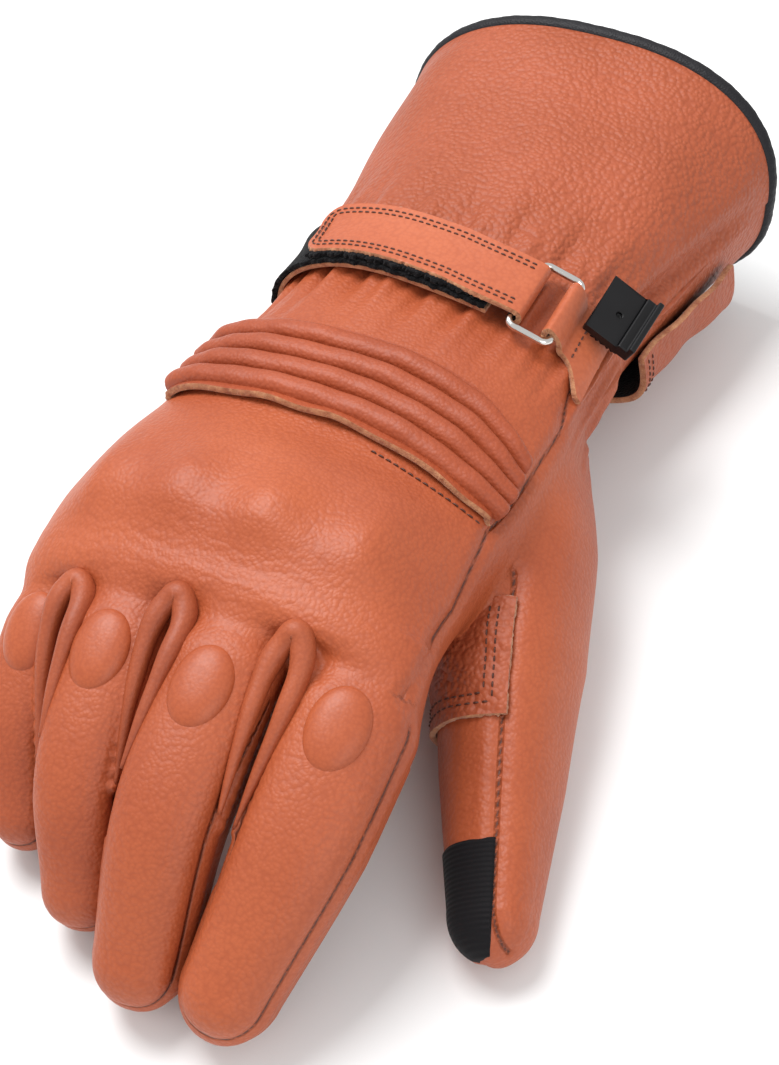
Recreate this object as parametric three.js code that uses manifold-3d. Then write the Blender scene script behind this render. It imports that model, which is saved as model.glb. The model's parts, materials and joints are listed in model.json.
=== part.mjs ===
// A leather winter riding glove for the right hand, standing on its fingertips, thumb tip and cuff.
// Millimetres. +Z is away from the palm (up), -Y is towards the fingertips and +X is towards the thumb.
// The glove is modelled round a hand centre at the knuckles, and PLACE moves it so that z = 0 is the ground.

import * as THREE from "three";
import { mergeVertices } from "three/addons/utils/BufferGeometryUtils.js";
import Module from "manifold-3d";

const wasm = await Module();
wasm.setup();

// ---- driving dimensions ----

// From the hand centre to the point on the ground under the middle of the glove.
const PLACE = new THREE.Vector3(-14.84, -47.64, 46.29);
const GAP = 0.3; // air between touching pieces
const LEATHER = 2.4; // shell leather with its foam backing
const OVERLAY = 1.2; // a single thickness of leather or hook-and-loop tape
const LINING = 1.2;
const SQUARENESS = 2.4; // exponent of the superellipse that every section of the glove is drawn with

// Sections of the hand and cuff along y: centre x and z, half width, height above and depth below the centre,
// and the section's roll about y in degrees.
const HAND = [
  { y: -28, x: -3.5, z: -1.5, half: 53, back: 20, palm: 17, roll: -6 },
  { y: -4, x: -4.5, z: -1, half: 51.5, back: 24.5, palm: 20, roll: -2 },
  { y: 28, x: 0, z: -2, half: 50, back: 23, palm: 23, roll: 2 },
  { y: 58, x: 2, z: -3, half: 47, back: 23.5, palm: 23, roll: 2 },
  { y: 92, x: 2.5, z: -5, half: 45, back: 24, palm: 24, roll: 1 },
  { y: 112, x: 1.5, z: -6, half: 47.5, back: 26, palm: 26, roll: 0 },
  { y: 186, x: 4.5, z: -7, half: 58.5, back: 36, palm: 38.4, roll: 0 },
];
const FINGER_ROOT_Y = -28;
const WRIST_Y = 92; // middle of the wrist strap
const CUFF_Y = 100;
const RIM_Y = 181;
const HEM_RISE = 10.5; // the hem is longer over the back of the hand
const HEM_SLANT = -3; // and shorter on the thumb side
const SEAM_THUMB = 24; // degrees round the section from +X, where the back panel ends on the thumb side
const SEAM_LITTLE = 168; // and on the little finger's side

// Fingers: centreline points at the root, middle and tip cap, half widths and half heights there, and the way
// that the finger's back faces.
const FINGERS = {
  index: {
    line: [[37.6, -28.4, 2], [37.4, -61, -11], [32.9, -88.5, -31]],
    half: [15.2, 14.2, 11], deep: [14, 13.4, 12], up: [0.16, 0, 1],
  },
  middle: {
    line: [[6.5, -28.4, 4.5], [8.3, -67, -10], [10.4, -89, -32.8]],
    half: [14, 13, 10.8], deep: [14, 13.2, 12], up: [0.04, 0, 1],
  },
  ring: {
    line: [[-21.5, -28.4, 1.5], [-16.9, -63, -13.5], [-11.4, -78.5, -33.2]],
    half: [13.2, 11.6, 9.8], deep: [13.4, 12.6, 11.4], up: [-0.05, 0, 1],
  },
  little: {
    line: [[-44.4, -28.4, -6], [-41.6, -53, -20], [-35.4, -67, -34.2]],
    half: [10.2, 10, 8.6], deep: [11.6, 11.2, 10.4], up: [-0.16, 0, 1],
  },
};
const KNUCKLE_AT = 0.4; // share of a finger's centreline where it bends
const FINGER_AXIS_UP = 5; // the bend's axis lies this far above the centreline
const CURL_MAX = 55; // degrees
const THUMB = {
  line: [[35, 70, -13], [46, 42, -18], [55, 10, -25], [66, -21, -32], [76, -48, -35.8]],
  half: [14, 18, 18, 14.6, 9.8], deep: [13, 16, 17, 13.8, 9.6], up: [0.87, 0.17, 0.47],
};
const THUMB_AT = 0.67;
const THUMB_AXIS_UP = 3;
const THUMB_MAX = 30;
const TIP_LENGTH = 1.15; // a tip cap's length over its half width

const STRAP_WIDTH = 20;
const STRAP_SLANT = -4.5; // the strap's thumb end lies this much nearer to the fingers
const STRAP_START = 196; // degrees round the wrist where the strap is sewn down
const STRAP_FOLD = 64; // degrees round the wrist where it turns back round the ring
const STRAP_END = 137; // degrees round the wrist where its free end lies
const STRAP_LIFT = 0.55;
const RING_WIRE = 0.95; // wire radius
const RING_LENGTH = 24.5; // along y, wire centre to wire centre
const RING_WIDTH = 11.5; // across, wire centre to wire centre
const RING_LIFT = 4.4;

// ---- small tools ----

const rad = THREE.MathUtils.degToRad;
const mix = THREE.MathUtils.lerp;
const vec = (a) => new THREE.Vector3(...a);
const smooth = (x, low, high) => THREE.MathUtils.smoothstep(x, low, high);
const steps = (n, low, high) => Array.from({ length: n + 1 }, (_, i) => mix(low, high, i / n));

// The value of a table's column at y, as a cubic with the table's own slopes.
function column(table, key, y) {
  const last = table.length - 2;
  let i = table.findIndex((row, k) => k <= last && y < table[k + 1].y);
  if (i < 0) i = last;
  const slope = (k) => {
    const low = table[Math.max(k - 1, 0)], high = table[Math.min(k + 1, last + 1)];
    return (high[key] - low[key]) / (high.y - low.y);
  };
  const [a, b] = [table[i], table[i + 1]], span = b.y - a.y, t = (y - a.y) / span;
  const t2 = t * t, t3 = t2 * t;
  return (2 * t3 - 3 * t2 + 1) * a[key] + (t3 - 2 * t2 + t) * span * slope(i)
    + (3 * t2 - 2 * t3) * b[key] + (t3 - t2) * span * slope(i + 1);
}

// A point of the unit superellipse in the direction of an angle in degrees.
function superellipse(angle) {
  const c = Math.cos(rad(angle)), s = Math.sin(rad(angle));
  const r = (Math.abs(c) ** SQUARENESS + Math.abs(s) ** SQUARENESS) ** (-1 / SQUARENESS);
  return [c * r, s * r];
}

// A point on the glove's hand or cuff: y along it, an angle round it from +X over the back, and a lift off it.
function onHand(y, angle, lift = 0) {
  const [c, s] = superellipse(angle);
  const get = (key) => column(HAND, key, y);
  const x = (get("half") + lift) * c;
  const z = (get(s > 0 ? "back" : "palm") + lift) * s;
  const roll = rad(get("roll"));
  const hem = smooth(y, CUFF_Y, RIM_Y) * (HEM_RISE * Math.max(0, s) ** 1.3 + HEM_SLANT * c);
  return new THREE.Vector3(
    get("x") + x * Math.cos(roll) + z * Math.sin(roll),
    y + hem,
    get("z") - x * Math.sin(roll) + z * Math.cos(roll),
  );
}

function geometryOf(points, triangles) {
  const geometry = new THREE.BufferGeometry();
  geometry.setAttribute("position", new THREE.Float32BufferAttribute(points.flatMap((p) => p.toArray()), 3));
  geometry.setIndex(triangles.flat());
  return facingOut(geometry);
}

function volumeOf(geometry) {
  const p = geometry.getAttribute("position"), index = geometry.index.array;
  const at = (i) => new THREE.Vector3().fromBufferAttribute(p, index[i]);
  let sum = 0;
  for (let i = 0; i < index.length; i += 3) sum += at(i).dot(at(i + 1).cross(at(i + 2))) / 6;
  return sum;
}

function facingOut(geometry) {
  if (volumeOf(geometry) < 0) geometry.index.array.reverse();
  return geometry;
}

// A solid of rings of points, one after the other. closed joins the last ring to the first; otherwise the first
// and last rings are closed with a point in their middle.
function rings(list, closed = false) {
  const n = list[0].length, points = list.flat(), triangles = [];
  const band = (a, b) => {
    for (let i = 0; i < n; i++) {
      const j = (i + 1) % n;
      triangles.push([a * n + i, a * n + j, b * n + j], [a * n + i, b * n + j, b * n + i]);
    }
  };
  for (let k = 0; k + 1 < list.length; k++) band(k, k + 1);
  if (closed) band(list.length - 1, 0);
  else {
    for (const [k, flip] of [[0, true], [list.length - 1, false]]) {
      const middle = list[k].reduce((sum, p) => sum.add(p), new THREE.Vector3()).divideScalar(n);
      points.push(middle);
      for (let i = 0; i < n; i++) {
        const edge = [k * n + i, k * n + ((i + 1) % n)];
        triangles.push(flip ? [edge[1], edge[0], points.length - 1] : [...edge, points.length - 1]);
      }
    }
  }
  return geometryOf(points, triangles);
}

// A curved plate: place(u, v, side) gives its inner (side 0) and outer (side 1) points for u and v from 0 to 1.
function plate(nu, nv, place) {
  const points = [], triangles = [];
  for (const side of [0, 1]) {
    for (const u of steps(nu, 0, 1)) points.push(...steps(nv, 0, 1).map((v) => place(u, v, side)));
  }
  const at = (i, j, side) => (side * (nu + 1) + i) * (nv + 1) + j;
  const quad = (a, b, c, d) => triangles.push([a, b, c], [a, c, d]);
  for (let i = 0; i < nu; i++) {
    for (let j = 0; j < nv; j++) {
      quad(at(i, j, 1), at(i + 1, j, 1), at(i + 1, j + 1, 1), at(i, j + 1, 1));
      quad(at(i, j, 0), at(i, j + 1, 0), at(i + 1, j + 1, 0), at(i + 1, j, 0));
    }
    quad(at(i, 0, 0), at(i + 1, 0, 0), at(i + 1, 0, 1), at(i, 0, 1));
    quad(at(i, nv, 0), at(i, nv, 1), at(i + 1, nv, 1), at(i + 1, nv, 0));
  }
  for (let j = 0; j < nv; j++) {
    quad(at(0, j, 0), at(0, j, 1), at(0, j + 1, 1), at(0, j + 1, 0));
    quad(at(nu, j, 0), at(nu, j + 1, 0), at(nu, j + 1, 1), at(nu, j, 1));
  }
  return geometryOf(points, triangles);
}

// Angles from one to another by way of every whole step between them, so that layers crease in line.
const STEP = 12;
function anglesBetween(from, to) {
  if (from > to) return anglesBetween(to, from).reverse();
  const inner = [];
  for (let k = Math.ceil((from + 1.5) / STEP); k * STEP < to - 1.5; k++) inner.push(k * STEP);
  return [from, ...inner, to];
}

// A plate that lies on the hand between two angles and two values of y, and between two lifts.
function onHandPlate(y, angles, lifts, nu) {
  const list = anglesBetween(...angles), n = list.length - 1;
  return plate(nu, n, (u, v, side) => onHand(mix(...y, u), list[Math.round(v * n)], lifts[side]));
}

// The same for the strap, which slants towards the fingers on the thumb side.
const strapShift = (angle) => STRAP_SLANT * (1 - smooth(angle, 60, 130));
function strapPlate(y, angles, lifts) {
  const list = anglesBetween(...angles), n = list.length - 1;
  return plate(2, n, (u, v, side) => {
    const angle = list[Math.round(v * n)];
    return onHand(mix(...y, u) + strapShift(angle), angle, lifts[side]);
  });
}

// A closed sleeve of the hand between two values of y and two lifts.
function sleeve(y, lifts, levels) {
  const ring = (at, lift) => anglesBetween(0, 360).slice(0, -1).map((angle) => onHand(at, angle, lift));
  const along = steps(levels, ...y);
  const outer = along.map((at) => ring(at, lifts[1]));
  const inner = along.reverse().map((at) => ring(at, lifts[0]));
  return rings([...outer, ...inner], true);
}

const manifolds = {
  from(geometry) {
    const bare = geometry.index ? geometry.toNonIndexed() : geometry.clone();
    for (const name of Object.keys(bare.attributes)) if (name !== "position") bare.deleteAttribute(name);
    const merged = mergeVertices(bare, 1e-4);
    return new wasm.Manifold(new wasm.Mesh({
      numProp: 3,
      vertProperties: merged.attributes.position.array,
      triVerts: new Uint32Array(merged.index.array),
    }));
  },
  to(solid) {
    const mesh = solid.getMesh();
    const geometry = new THREE.BufferGeometry();
    const points = [];
    for (let i = 0; i < mesh.numVert; i++) {
      points.push(...mesh.vertProperties.slice(i * mesh.numProp, i * mesh.numProp + 3));
    }
    geometry.setAttribute("position", new THREE.Float32BufferAttribute(points, 3));
    geometry.setIndex(new THREE.BufferAttribute(mesh.triVerts, 1));
    return geometry;
  },
};

function cut(geometry, ...tools) {
  let solid = manifolds.from(geometry);
  for (const tool of tools) solid = solid.subtract(manifolds.from(tool));
  const largest = solid.decompose().sort((a, b) => b.volume() - a.volume())[0];
  return manifolds.to(largest);
}

const common = (a, b) => manifolds.to(manifolds.from(a).intersect(manifolds.from(b)));

// ---- a finger or the thumb as a tube along its centreline ----

class Digit {
  constructor({ line, half, deep, up, across }) {
    this.across = across && vec(across);
    this.curve = new THREE.CatmullRomCurve3(line.map(vec), false, "centripetal");
    this.half = half;
    this.deep = deep;
    this.up = vec(up);
  }

  size(list, t) {
    const x = THREE.MathUtils.clamp(t, 0, 1) * (list.length - 1), i = Math.min(Math.floor(x), list.length - 2);
    return mix(list[i], list[i + 1], x - i);
  }

  // Middle, side (towards the thumb), up and forward at t along the centreline.
  frame(t) {
    const forward = this.curve.getTangentAt(THREE.MathUtils.clamp(t, 0, 1)).normalize();
    const side = new THREE.Vector3().crossVectors(this.up, forward).normalize();
    const up = new THREE.Vector3().crossVectors(forward, side).normalize();
    const middle = this.curve.getPointAt(THREE.MathUtils.clamp(t, 0, 1));
    if (t < 0) middle.addScaledVector(forward, t * this.curve.getLength());
    return { middle, side, up, forward };
  }

  // A point at t, at an angle round the section from the side over the back, lifted off it.
  on(t, angle, lift = 0, ahead = 0, shrink = 1) {
    const { middle, side, up, forward } = this.frame(t);
    const [c, s] = superellipse(angle);
    return middle
      .addScaledVector(side, (this.size(this.half, t) + lift) * c * shrink)
      .addScaledVector(up, (this.size(this.deep, t) + lift) * s * shrink)
      .addScaledVector(forward, ahead);
  }

  ring(t, lift, sides, ahead = 0, shrink = 1) {
    return steps(sides, 0, 360).slice(0, -1).map((angle) => this.on(t, angle, lift, ahead, shrink));
  }

  // Rings of the rounded tip, from its widest out to nearly its end.
  cap(lift, sides, levels) {
    const reach = (this.half.at(-1) + lift) * TIP_LENGTH;
    const capRing = (a) => this.ring(1, lift, sides, reach * Math.sin(rad(a)), Math.cos(rad(a)));
    return steps(levels, 0, 82).slice(1).map(capRing);
  }

  // The whole digit as a solid, from t to its tip.
  solid(from, lift, sides = 16, levels = 8) {
    const along = steps(levels, from, 1);
    return rings([...along.map((t) => this.ring(t, lift, sides)), ...this.cap(lift, sides, 4)]);
  }

  // An open tube between two places.
  tube(from, to, lifts, sides = 16, levels = 3) {
    const along = steps(levels, from, to);
    return rings([
      ...along.map((t) => this.ring(t, lifts[1], sides)),
      ...along.reverse().map((t) => this.ring(t, lifts[0], sides)),
    ], true);
  }

  // A tube that is closed at the tip.
  thimble(from, lifts, sides = 16, levels = 4) {
    const along = steps(levels, from, 1);
    const skin = (lift) => [...along.map((t) => this.ring(t, lift, sides)), ...this.cap(lift, sides, 4)];
    return rings([...skin(lifts[1]).reverse(), ...skin(lifts[0])]);
  }

  // The bend's axis: a point and a direction. A finger's lies across the hand, so that it bends beside its
  // neighbours.
  pivot(t, lift) {
    const { middle, side, up, forward } = this.frame(t);
    if (this.across) {
      side.copy(this.across).addScaledVector(forward, -this.across.dot(forward)).normalize();
      up.crossVectors(forward, side);
    }
    return { point: middle.addScaledVector(up, lift), side, up, forward };
  }

  // What lies ahead of the bend (way 1) or behind it (way -1), with room for the curl below the axis.
  halfSpace(t, lift, way, curl) {
    const { point, side, up, forward } = this.pivot(t, lift);
    const back = forward.clone().multiplyScalar(way);
    const spread = Math.tan(rad(curl / 2 + 2)), reach = 60;
    const outline = [
      [GAP / 2, 0], [GAP / 2 + reach * Math.tan(rad(2)), reach],
      [reach, reach], [reach, -reach], [spread * reach, -reach],
    ];
    const ends = [-reach, reach].map((x) => outline.map(([a, b]) => point.clone()
      .addScaledVector(side, x).addScaledVector(back, a).addScaledVector(up, b)));
    return rings(ends);
  }
}

// ---- materials ----

function finish(color, roughness, metalness = 0) {
  return new THREE.MeshStandardMaterial({ color, roughness, metalness });
}
const tan = finish("#cd6f4e", 0.55);
const black = finish("#1a181c", 0.9);
const steel = finish("#c9cacc", 0.2, 1);
const plastic = finish("#151317", 0.45);
const fleece = finish("#26242a", 1);

const glove = new THREE.Group();
glove.position.copy(PLACE);
function add(name, geometry, material) {
  const mesh = new THREE.Mesh(geometry, material);
  mesh.name = name;
  glove.add(mesh);
  return mesh;
}

// ---- hand ----

const thumb = new Digit(THUMB);
const thumbRoom = thumb.solid(0, GAP + 0.3, 16, 10);

add("back_panel", onHandPlate([FINGER_ROOT_Y, CUFF_Y], [SEAM_THUMB, SEAM_LITTLE], [-LEATHER, 0], 10), tan);
const palmAngles = [SEAM_LITTLE + 0.5, SEAM_THUMB + 359.5];
add("palm_panel", cut(onHandPlate([FINGER_ROOT_Y, CUFF_Y], palmAngles, [-LEATHER, 0], 10), thumbRoom), tan);
add("lining", cut(
  sleeve([FINGER_ROOT_Y + 2, RIM_Y - 1], [-LEATHER - 1.2 - LINING, -LEATHER - 1.2], 8), thumbRoom), fleece);

// The guard is a shell over the four knuckles, with a swelling over each.
const KNUCKLES = [[31, -6], [5, -8], [-20, -6], [-41, -4]];
const GUARD_Y = [-20, 20];
const GUARD_ANGLES = [42, 152];
const GUARD_RISE = 2;
const KNUCKLE_RISE = 3;
function guardRise(p) {
  const bumps = KNUCKLES.map(([x, y]) => Math.exp(-(((p.x - x) / 9.5) ** 2) - ((p.y - y) / 11) ** 2));
  return GUARD_RISE + KNUCKLE_RISE * Math.max(...bumps);
}
add("knuckle_guard", plate(8, 16, (u, v, side) => {
  const y = mix(...GUARD_Y, u), angle = mix(...GUARD_ANGLES, v);
  const edge = Math.min(1, 4.5 * Math.min(u, 1 - u), 6 * Math.min(v, 1 - v));
  return onHand(y, angle, side ? GAP + 0.5 + edge * guardRise(onHand(y, angle)) : GAP);
}), tan);

// ---- fingers: a base on the hand, a tip that curls, and a pad over the knuckle ----

const PAD_AT = [0.2, 0.22, 0.22, 0.24];
const PAD_LENGTH = 19;
const PAD_WIDTH = 14.5;
const PAD_RISE = 3.4;
const PAD_SPREAD = 1.1; // a finger's back is flatter than a circle, so a width covers a wider angle
const handFront = new THREE.BoxGeometry(200, 60, 120).translate(0, FINGER_ROOT_Y - GAP + 30, 0);
const digits = {};
Object.entries(FINGERS).forEach(([name, shape], i) => {
  const digit = (digits[name] = new Digit({ ...shape, across: [1, 0, 0] }));
  const ahead = digit.halfSpace(KNUCKLE_AT, FINGER_AXIS_UP, 1, CURL_MAX);
  const behind = digit.halfSpace(KNUCKLE_AT, FINGER_AXIS_UP, -1, CURL_MAX);
  const bounds = [KNUCKLE_AT + 0.02, KNUCKLE_AT - 0.02];
  add(name + "_base", cut(common(digit.tube(-0.12, bounds[0], [-LEATHER, 0]), behind), handFront), tan);
  add(name + "_tip", common(digit.thimble(bounds[1], [-LEATHER, 0]), ahead), tan);
  const length = digit.curve.getLength();
  add(name + "_knuckle_pad", plate(5, 5, (u, v, side) => {
    const p = mix(-1, 1, u), q = mix(-1, 1, v);
    const [a, b] = [p * Math.sqrt(1 - q * q / 2), q * Math.sqrt(1 - p * p / 2)];
    const t = PAD_AT[i] + (a * PAD_LENGTH) / 2 / length;
    const halfAngle = THREE.MathUtils.radToDeg(PAD_WIDTH / 2 / digit.size(digit.half, t)) * PAD_SPREAD;
    const dome = GAP + 0.4 + PAD_RISE * Math.sqrt(Math.max(0, 1 - a * a - b * b));
    return digit.on(t, 90 - b * halfAngle, side ? dome : GAP);
  }), tan);
});

// Between two fingers the fourchette comes up out of the crotch as a padded roll.
const CROTCHES = { index_middle: [21.3, 9.5], middle_ring: [-7.2, 10], ring_little: [-33.4, 4] };
const FOURCHETTE = { length: 15, radius: 5.2, drop: 7 };
for (const [name, [x, z]] of Object.entries(CROTCHES)) {
  const roll = rings(steps(6, 0, 1).map((t) => steps(12, 0, 360).slice(0, -1).map((a) => new THREE.Vector3(
    x + FOURCHETTE.radius * Math.sin(rad(a)), FINGER_ROOT_Y - GAP - 0.2 - t * FOURCHETTE.length,
    z - t * FOURCHETTE.drop + FOURCHETTE.radius * (1 - 0.55 * t * t) * Math.cos(rad(a)) - 2))));
  const beside = name.split("_").map((finger) => digits[finger].solid(-0.12, GAP, 16, 8));
  add("fourchette_" + name, cut(roll, ...beside), tan);
}

// ---- thumb ----

const handRoom = rings(steps(12, FINGER_ROOT_Y - 1, CUFF_Y + 20)
  .map((y) => anglesBetween(0, 360).slice(0, -1).map((angle) => onHand(y, angle, GAP))));
const behindThumb = thumb.halfSpace(THUMB_AT, THUMB_AXIS_UP, -1, THUMB_MAX);
const aheadThumb = thumb.halfSpace(THUMB_AT, THUMB_AXIS_UP, 1, THUMB_MAX);
const thumbTube = thumb.tube(0, THUMB_AT + 0.02, [-LEATHER, 0], 16, 6);
add("thumb_base", cut(common(thumbTube, behindThumb), handRoom), tan);
add("thumb_tip", common(thumb.thimble(THUMB_AT - 0.02, [-LEATHER, 0]), aheadThumb), tan);

// The conductive pad on the inside of the thumb's tip.
const TOUCH_AT = [0.89, 1];
const TOUCH_ANGLES = [150, 240];
add("thumb_touch_pad", plate(5, 6, (u, v, side) =>
  thumb.on(mix(...TOUCH_AT, u), mix(...TOUCH_ANGLES, v), [GAP, GAP + 0.6][side])), black);

// The leather patch that strengthens the crotch between the thumb and the palm.
const WEB_AT = [0.47, 0.625];
const WEB_ANGLES = [150, 262];
const webPatch = plate(5, 6, (u, v, side) =>
  thumb.on(mix(...WEB_AT, u), mix(...WEB_ANGLES, v), [GAP, GAP + OVERLAY][side]));
add("thumb_web_patch", cut(webPatch, handRoom), tan);

// ---- palm patch: a flat pad of doubled leather under the palm ----

const PATCH = { x: -8, y: 26, half: 26, length: 25, top: -27.5, thick: 2.6, corner: 9 };
function roundedOutline(half, length, corner) {
  const shape = new THREE.Shape();
  shape.absarc(half - corner, length - corner, corner, 0, Math.PI / 2);
  shape.absarc(corner - half, length - corner, corner, Math.PI / 2, Math.PI);
  shape.absarc(corner - half, corner - length, corner, Math.PI, 1.5 * Math.PI);
  shape.absarc(half - corner, corner - length, corner, 1.5 * Math.PI, 2 * Math.PI);
  return shape;
}
const patchGeometry = new THREE.ExtrudeGeometry(roundedOutline(PATCH.half, PATCH.length, PATCH.corner), {
  depth: PATCH.thick, bevelEnabled: false, curveSegments: 5,
}).translate(PATCH.x, PATCH.y, PATCH.top - PATCH.thick);
add("palm_patch", patchGeometry, tan);

// ---- flex panel: four sewn ribs over the back of the hand, below the wrist ----

const FLEX_ENDS = [[32, 152], [36, 160]]; // degrees round the hand of the lowest and the highest rib's ends
const FLEX_Y = 29; // lowest edge over the middle of the hand
const FLEX_PITCH = 6.6;
const FLEX_DIP = -7; // the thumb end of the panel reaches down towards the fingers
const flexY = (offset, angle) => FLEX_Y + offset + FLEX_DIP * smooth(Math.cos(rad(angle)), 0, 0.95);
function flexPlate(offsets, share, lifts, nu, crown = 0) {
  const ends = FLEX_ENDS[0].map((low, i) => mix(low, FLEX_ENDS[1][i], share));
  const list = anglesBetween(...ends);
  const n = list.length - 1;
  return plate(nu, n, (u, v, side) => {
    const angle = list[Math.round(v * n)];
    const round = crown * Math.sqrt(Math.max(0, 1 - (2 * u - 1) ** 2));
    return onHand(flexY(mix(...offsets, u), angle), angle, lifts[side] + side * round);
  });
}
const FLEX_BASE = [0.4, 1.3]; // lifts of the backing's two faces
const RIB_CROWN = 2.2;
add("flex_base", flexPlate([0, 4 * FLEX_PITCH + 1], 0.5, FLEX_BASE, 3), tan);
for (let i = 0; i < 4; i++) {
  const from = 0.5 + i * FLEX_PITCH;
  const rib = flexPlate([from, from + FLEX_PITCH - GAP], i / 3, [FLEX_BASE[1] + GAP, 2], 4, RIB_CROWN);
  add("flex_rib_" + (i + 1), rib, tan);
}

// ---- cuff ----

add("cuff_back", onHandPlate([CUFF_Y + GAP, RIM_Y], [0, 180], [-LEATHER, 0], 6), tan);
const SPLIT = [262, 278];
add("cuff_palm_little_side", onHandPlate([CUFF_Y + GAP, RIM_Y], [180.5, SPLIT[0]], [-LEATHER, 0], 6), tan);
add("cuff_palm_thumb_side", onHandPlate([CUFF_Y + GAP, RIM_Y], [SPLIT[1], 359.5], [-LEATHER, 0], 6), tan);
const gussetAngles = [SPLIT[0] + 1, SPLIT[1] - 1];
add("cuff_gusset", onHandPlate([CUFF_Y + 2, RIM_Y], gussetAngles, [-LEATHER, -LEATHER + 0.9], 4), black);
const BINDING = 4.4;
add("rim_binding", sleeve([RIM_Y + GAP, RIM_Y + BINDING], [-LEATHER - LINING - 0.9, 0.9], 1), black);

// ---- wrist strap: a base run, its loop tape, the fold round the ring, the free end and its hook tape ----

const strapY = [WRIST_Y - STRAP_WIDTH / 2, WRIST_Y + STRAP_WIDTH / 2];
const narrow = (y, by) => [y[0] + by, y[1] - by];
const tape = (layer) => [STRAP_LIFT + layer * (OVERLAY + GAP), STRAP_LIFT + layer * (OVERLAY + GAP) + OVERLAY];
add("strap_base", strapPlate(strapY, [STRAP_FOLD + 8, STRAP_START], tape(0)), tan);
add("strap_loop_tape", strapPlate(narrow(strapY, 0.6), [STRAP_FOLD + 9, STRAP_START - 4], tape(1)), black);
add("strap_hook_tape", strapPlate(narrow(strapY, 0.6), [STRAP_FOLD + 14, STRAP_END - 4], tape(2)), black);
const tailLift = tape(3)[0];
add("strap_tail", strapPlate(strapY, [STRAP_FOLD + 13, STRAP_END], [tailLift, tailLift + 1.6]), tan);

// The ring lies over the wrist between the strap's fold and the ring tab.
const ringY = WRIST_Y + STRAP_SLANT;
const ringMiddle = onHand(ringY, 57, RING_LIFT);
const across = onHand(ringY, 49, RING_LIFT).sub(onHand(ringY, 65, RING_LIFT)).normalize();
const ringUp = new THREE.Vector3(-across.z, 0, across.x);
const ringFrame = new THREE.Matrix4().makeBasis(across, new THREE.Vector3(0, 1, 0), ringUp);
ringFrame.setPosition(ringMiddle);
const RING_CORNER = 2.2;
function ringSolid() {
  const outline = [];
  const halves = [RING_WIDTH / 2 - RING_CORNER, RING_LENGTH / 2 - RING_CORNER];
  for (const [sx, sy, start] of [[1, 1, 0], [-1, 1, 90], [-1, -1, 180], [1, -1, 270]]) {
    for (const a of steps(4, start, start + 90)) {
      const x = sx * halves[0] + RING_CORNER * Math.cos(rad(a));
      const y = sy * halves[1] + RING_CORNER * Math.sin(rad(a));
      outline.push({ x, y, a });
    }
  }
  const loops = outline.map(({ x, y, a }) => steps(8, 0, 360).slice(0, -1).map((b) => {
    const out = RING_WIRE * Math.cos(rad(b));
    const [outX, outY] = [out * Math.cos(rad(a)), out * Math.sin(rad(a))];
    return new THREE.Vector3(x + outX, y + outY, RING_WIRE * Math.sin(rad(b)));
  }));
  return rings(loops, true);
}
add("strap_ring", ringSolid().applyMatrix4(ringFrame), steel);

// A folded sleeve of leather round one of the ring's long bars: way 1 is the tab's bar, and -1 is the strap's.
function barSleeve(way, thick, width, turns) {
  const bar = (way * RING_WIDTH) / 2, inner = RING_WIRE + GAP;
  return plate(2, 8, (u, v, side) => {
    const a = rad(mix(...turns, v)), r = inner + side * thick;
    return new THREE.Vector3(bar + r * Math.cos(a), mix(-width / 2, width / 2, u), r * Math.sin(a));
  }).applyMatrix4(ringFrame);
}
add("strap_fold", barSleeve(-1, 1.3, STRAP_WIDTH - 0.8, [-82, 82]), tan);
add("ring_tab_fold", barSleeve(1, 1.3, STRAP_WIDTH - 1, [98, 262]), tan);

// The two ends of the ring tab lie flat on the wrist and are sewn into the thumb-side seam.
add("ring_tab", strapPlate(narrow(strapY, 0.5), [SEAM_THUMB + 1, 47], [GAP, GAP + 2 * OVERLAY]), tan);

// ---- cuff flap on the thumb side, which closes the cuff under the wrist ----

const FLAP_Y = [108, 158];
const FLAP_ANGLES = [-8, -118]; // from its sewn edge to its free end
const TAPE_Y = [112, 154];
const LOOP_ANGLES = [-128, -84];
const HOOK_ANGLES = [-76, -112];
const HOOK_RAMP = 8; // degrees over which the flap climbs on to its tape
const FLAP_BULGE = 3.5; // how far it stands off the cuff round its bend
add("flap_loop_tape", onHandPlate(TAPE_Y, LOOP_ANGLES, tape(0), 3), black);
add("flap_hook_tape", onHandPlate(TAPE_Y, HOOK_ANGLES, tape(1), 3), black);
const flapList = anglesBetween(...FLAP_ANGLES);
add("cuff_flap", plate(4, flapList.length - 1, (u, v, side) => {
  const angle = flapList[Math.round(v * (flapList.length - 1))];
  const lift = mix(STRAP_LIFT, tape(2)[0], smooth(-angle, 20, -HOOK_ANGLES[0] - HOOK_RAMP));
  const bulge = FLAP_BULGE * Math.exp(-(((angle + 32) / 17) ** 2));
  return onHand(mix(...FLAP_Y, u), angle, lift + bulge + 2 * side);
}), tan);

// ---- pair clip: a moulded plate with a folded lip, on a short leather loop at the wrist's thumb side ----

const CLIP = { width: 14, length: 17, thick: 2.4, lip: 4.2, lipRise: 3.4, hole: 0.9 };
const clipFoot = onHand(99.5, 32, 4.2);
const clipOut = new THREE.Vector3(0.5, -0.2, 0.84).normalize();
function clipSolid() {
  const { width, length, thick, lip, lipRise, hole } = CLIP;
  const outline = new THREE.Shape([
    [0, 0], [width, 0], [width, thick + lipRise], [width - 1.6, thick + lipRise], [width - 1.6, thick + 1.5],
    [width - lip, thick + 1.5], [width - lip, thick], [0, thick],
  ].map(([x, y]) => new THREE.Vector2(x, y)));
  const body = new THREE.ExtrudeGeometry(outline, { depth: length, bevelEnabled: false });
  body.translate(-width / 2, 0, 0);
  const dimple = new THREE.CylinderGeometry(hole, hole, 2, 12).translate(-1, thick, length / 2);
  return cut(body, dimple).rotateX(Math.PI / 2).translate(0, CLIP.length / 3, 0);
}
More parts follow.
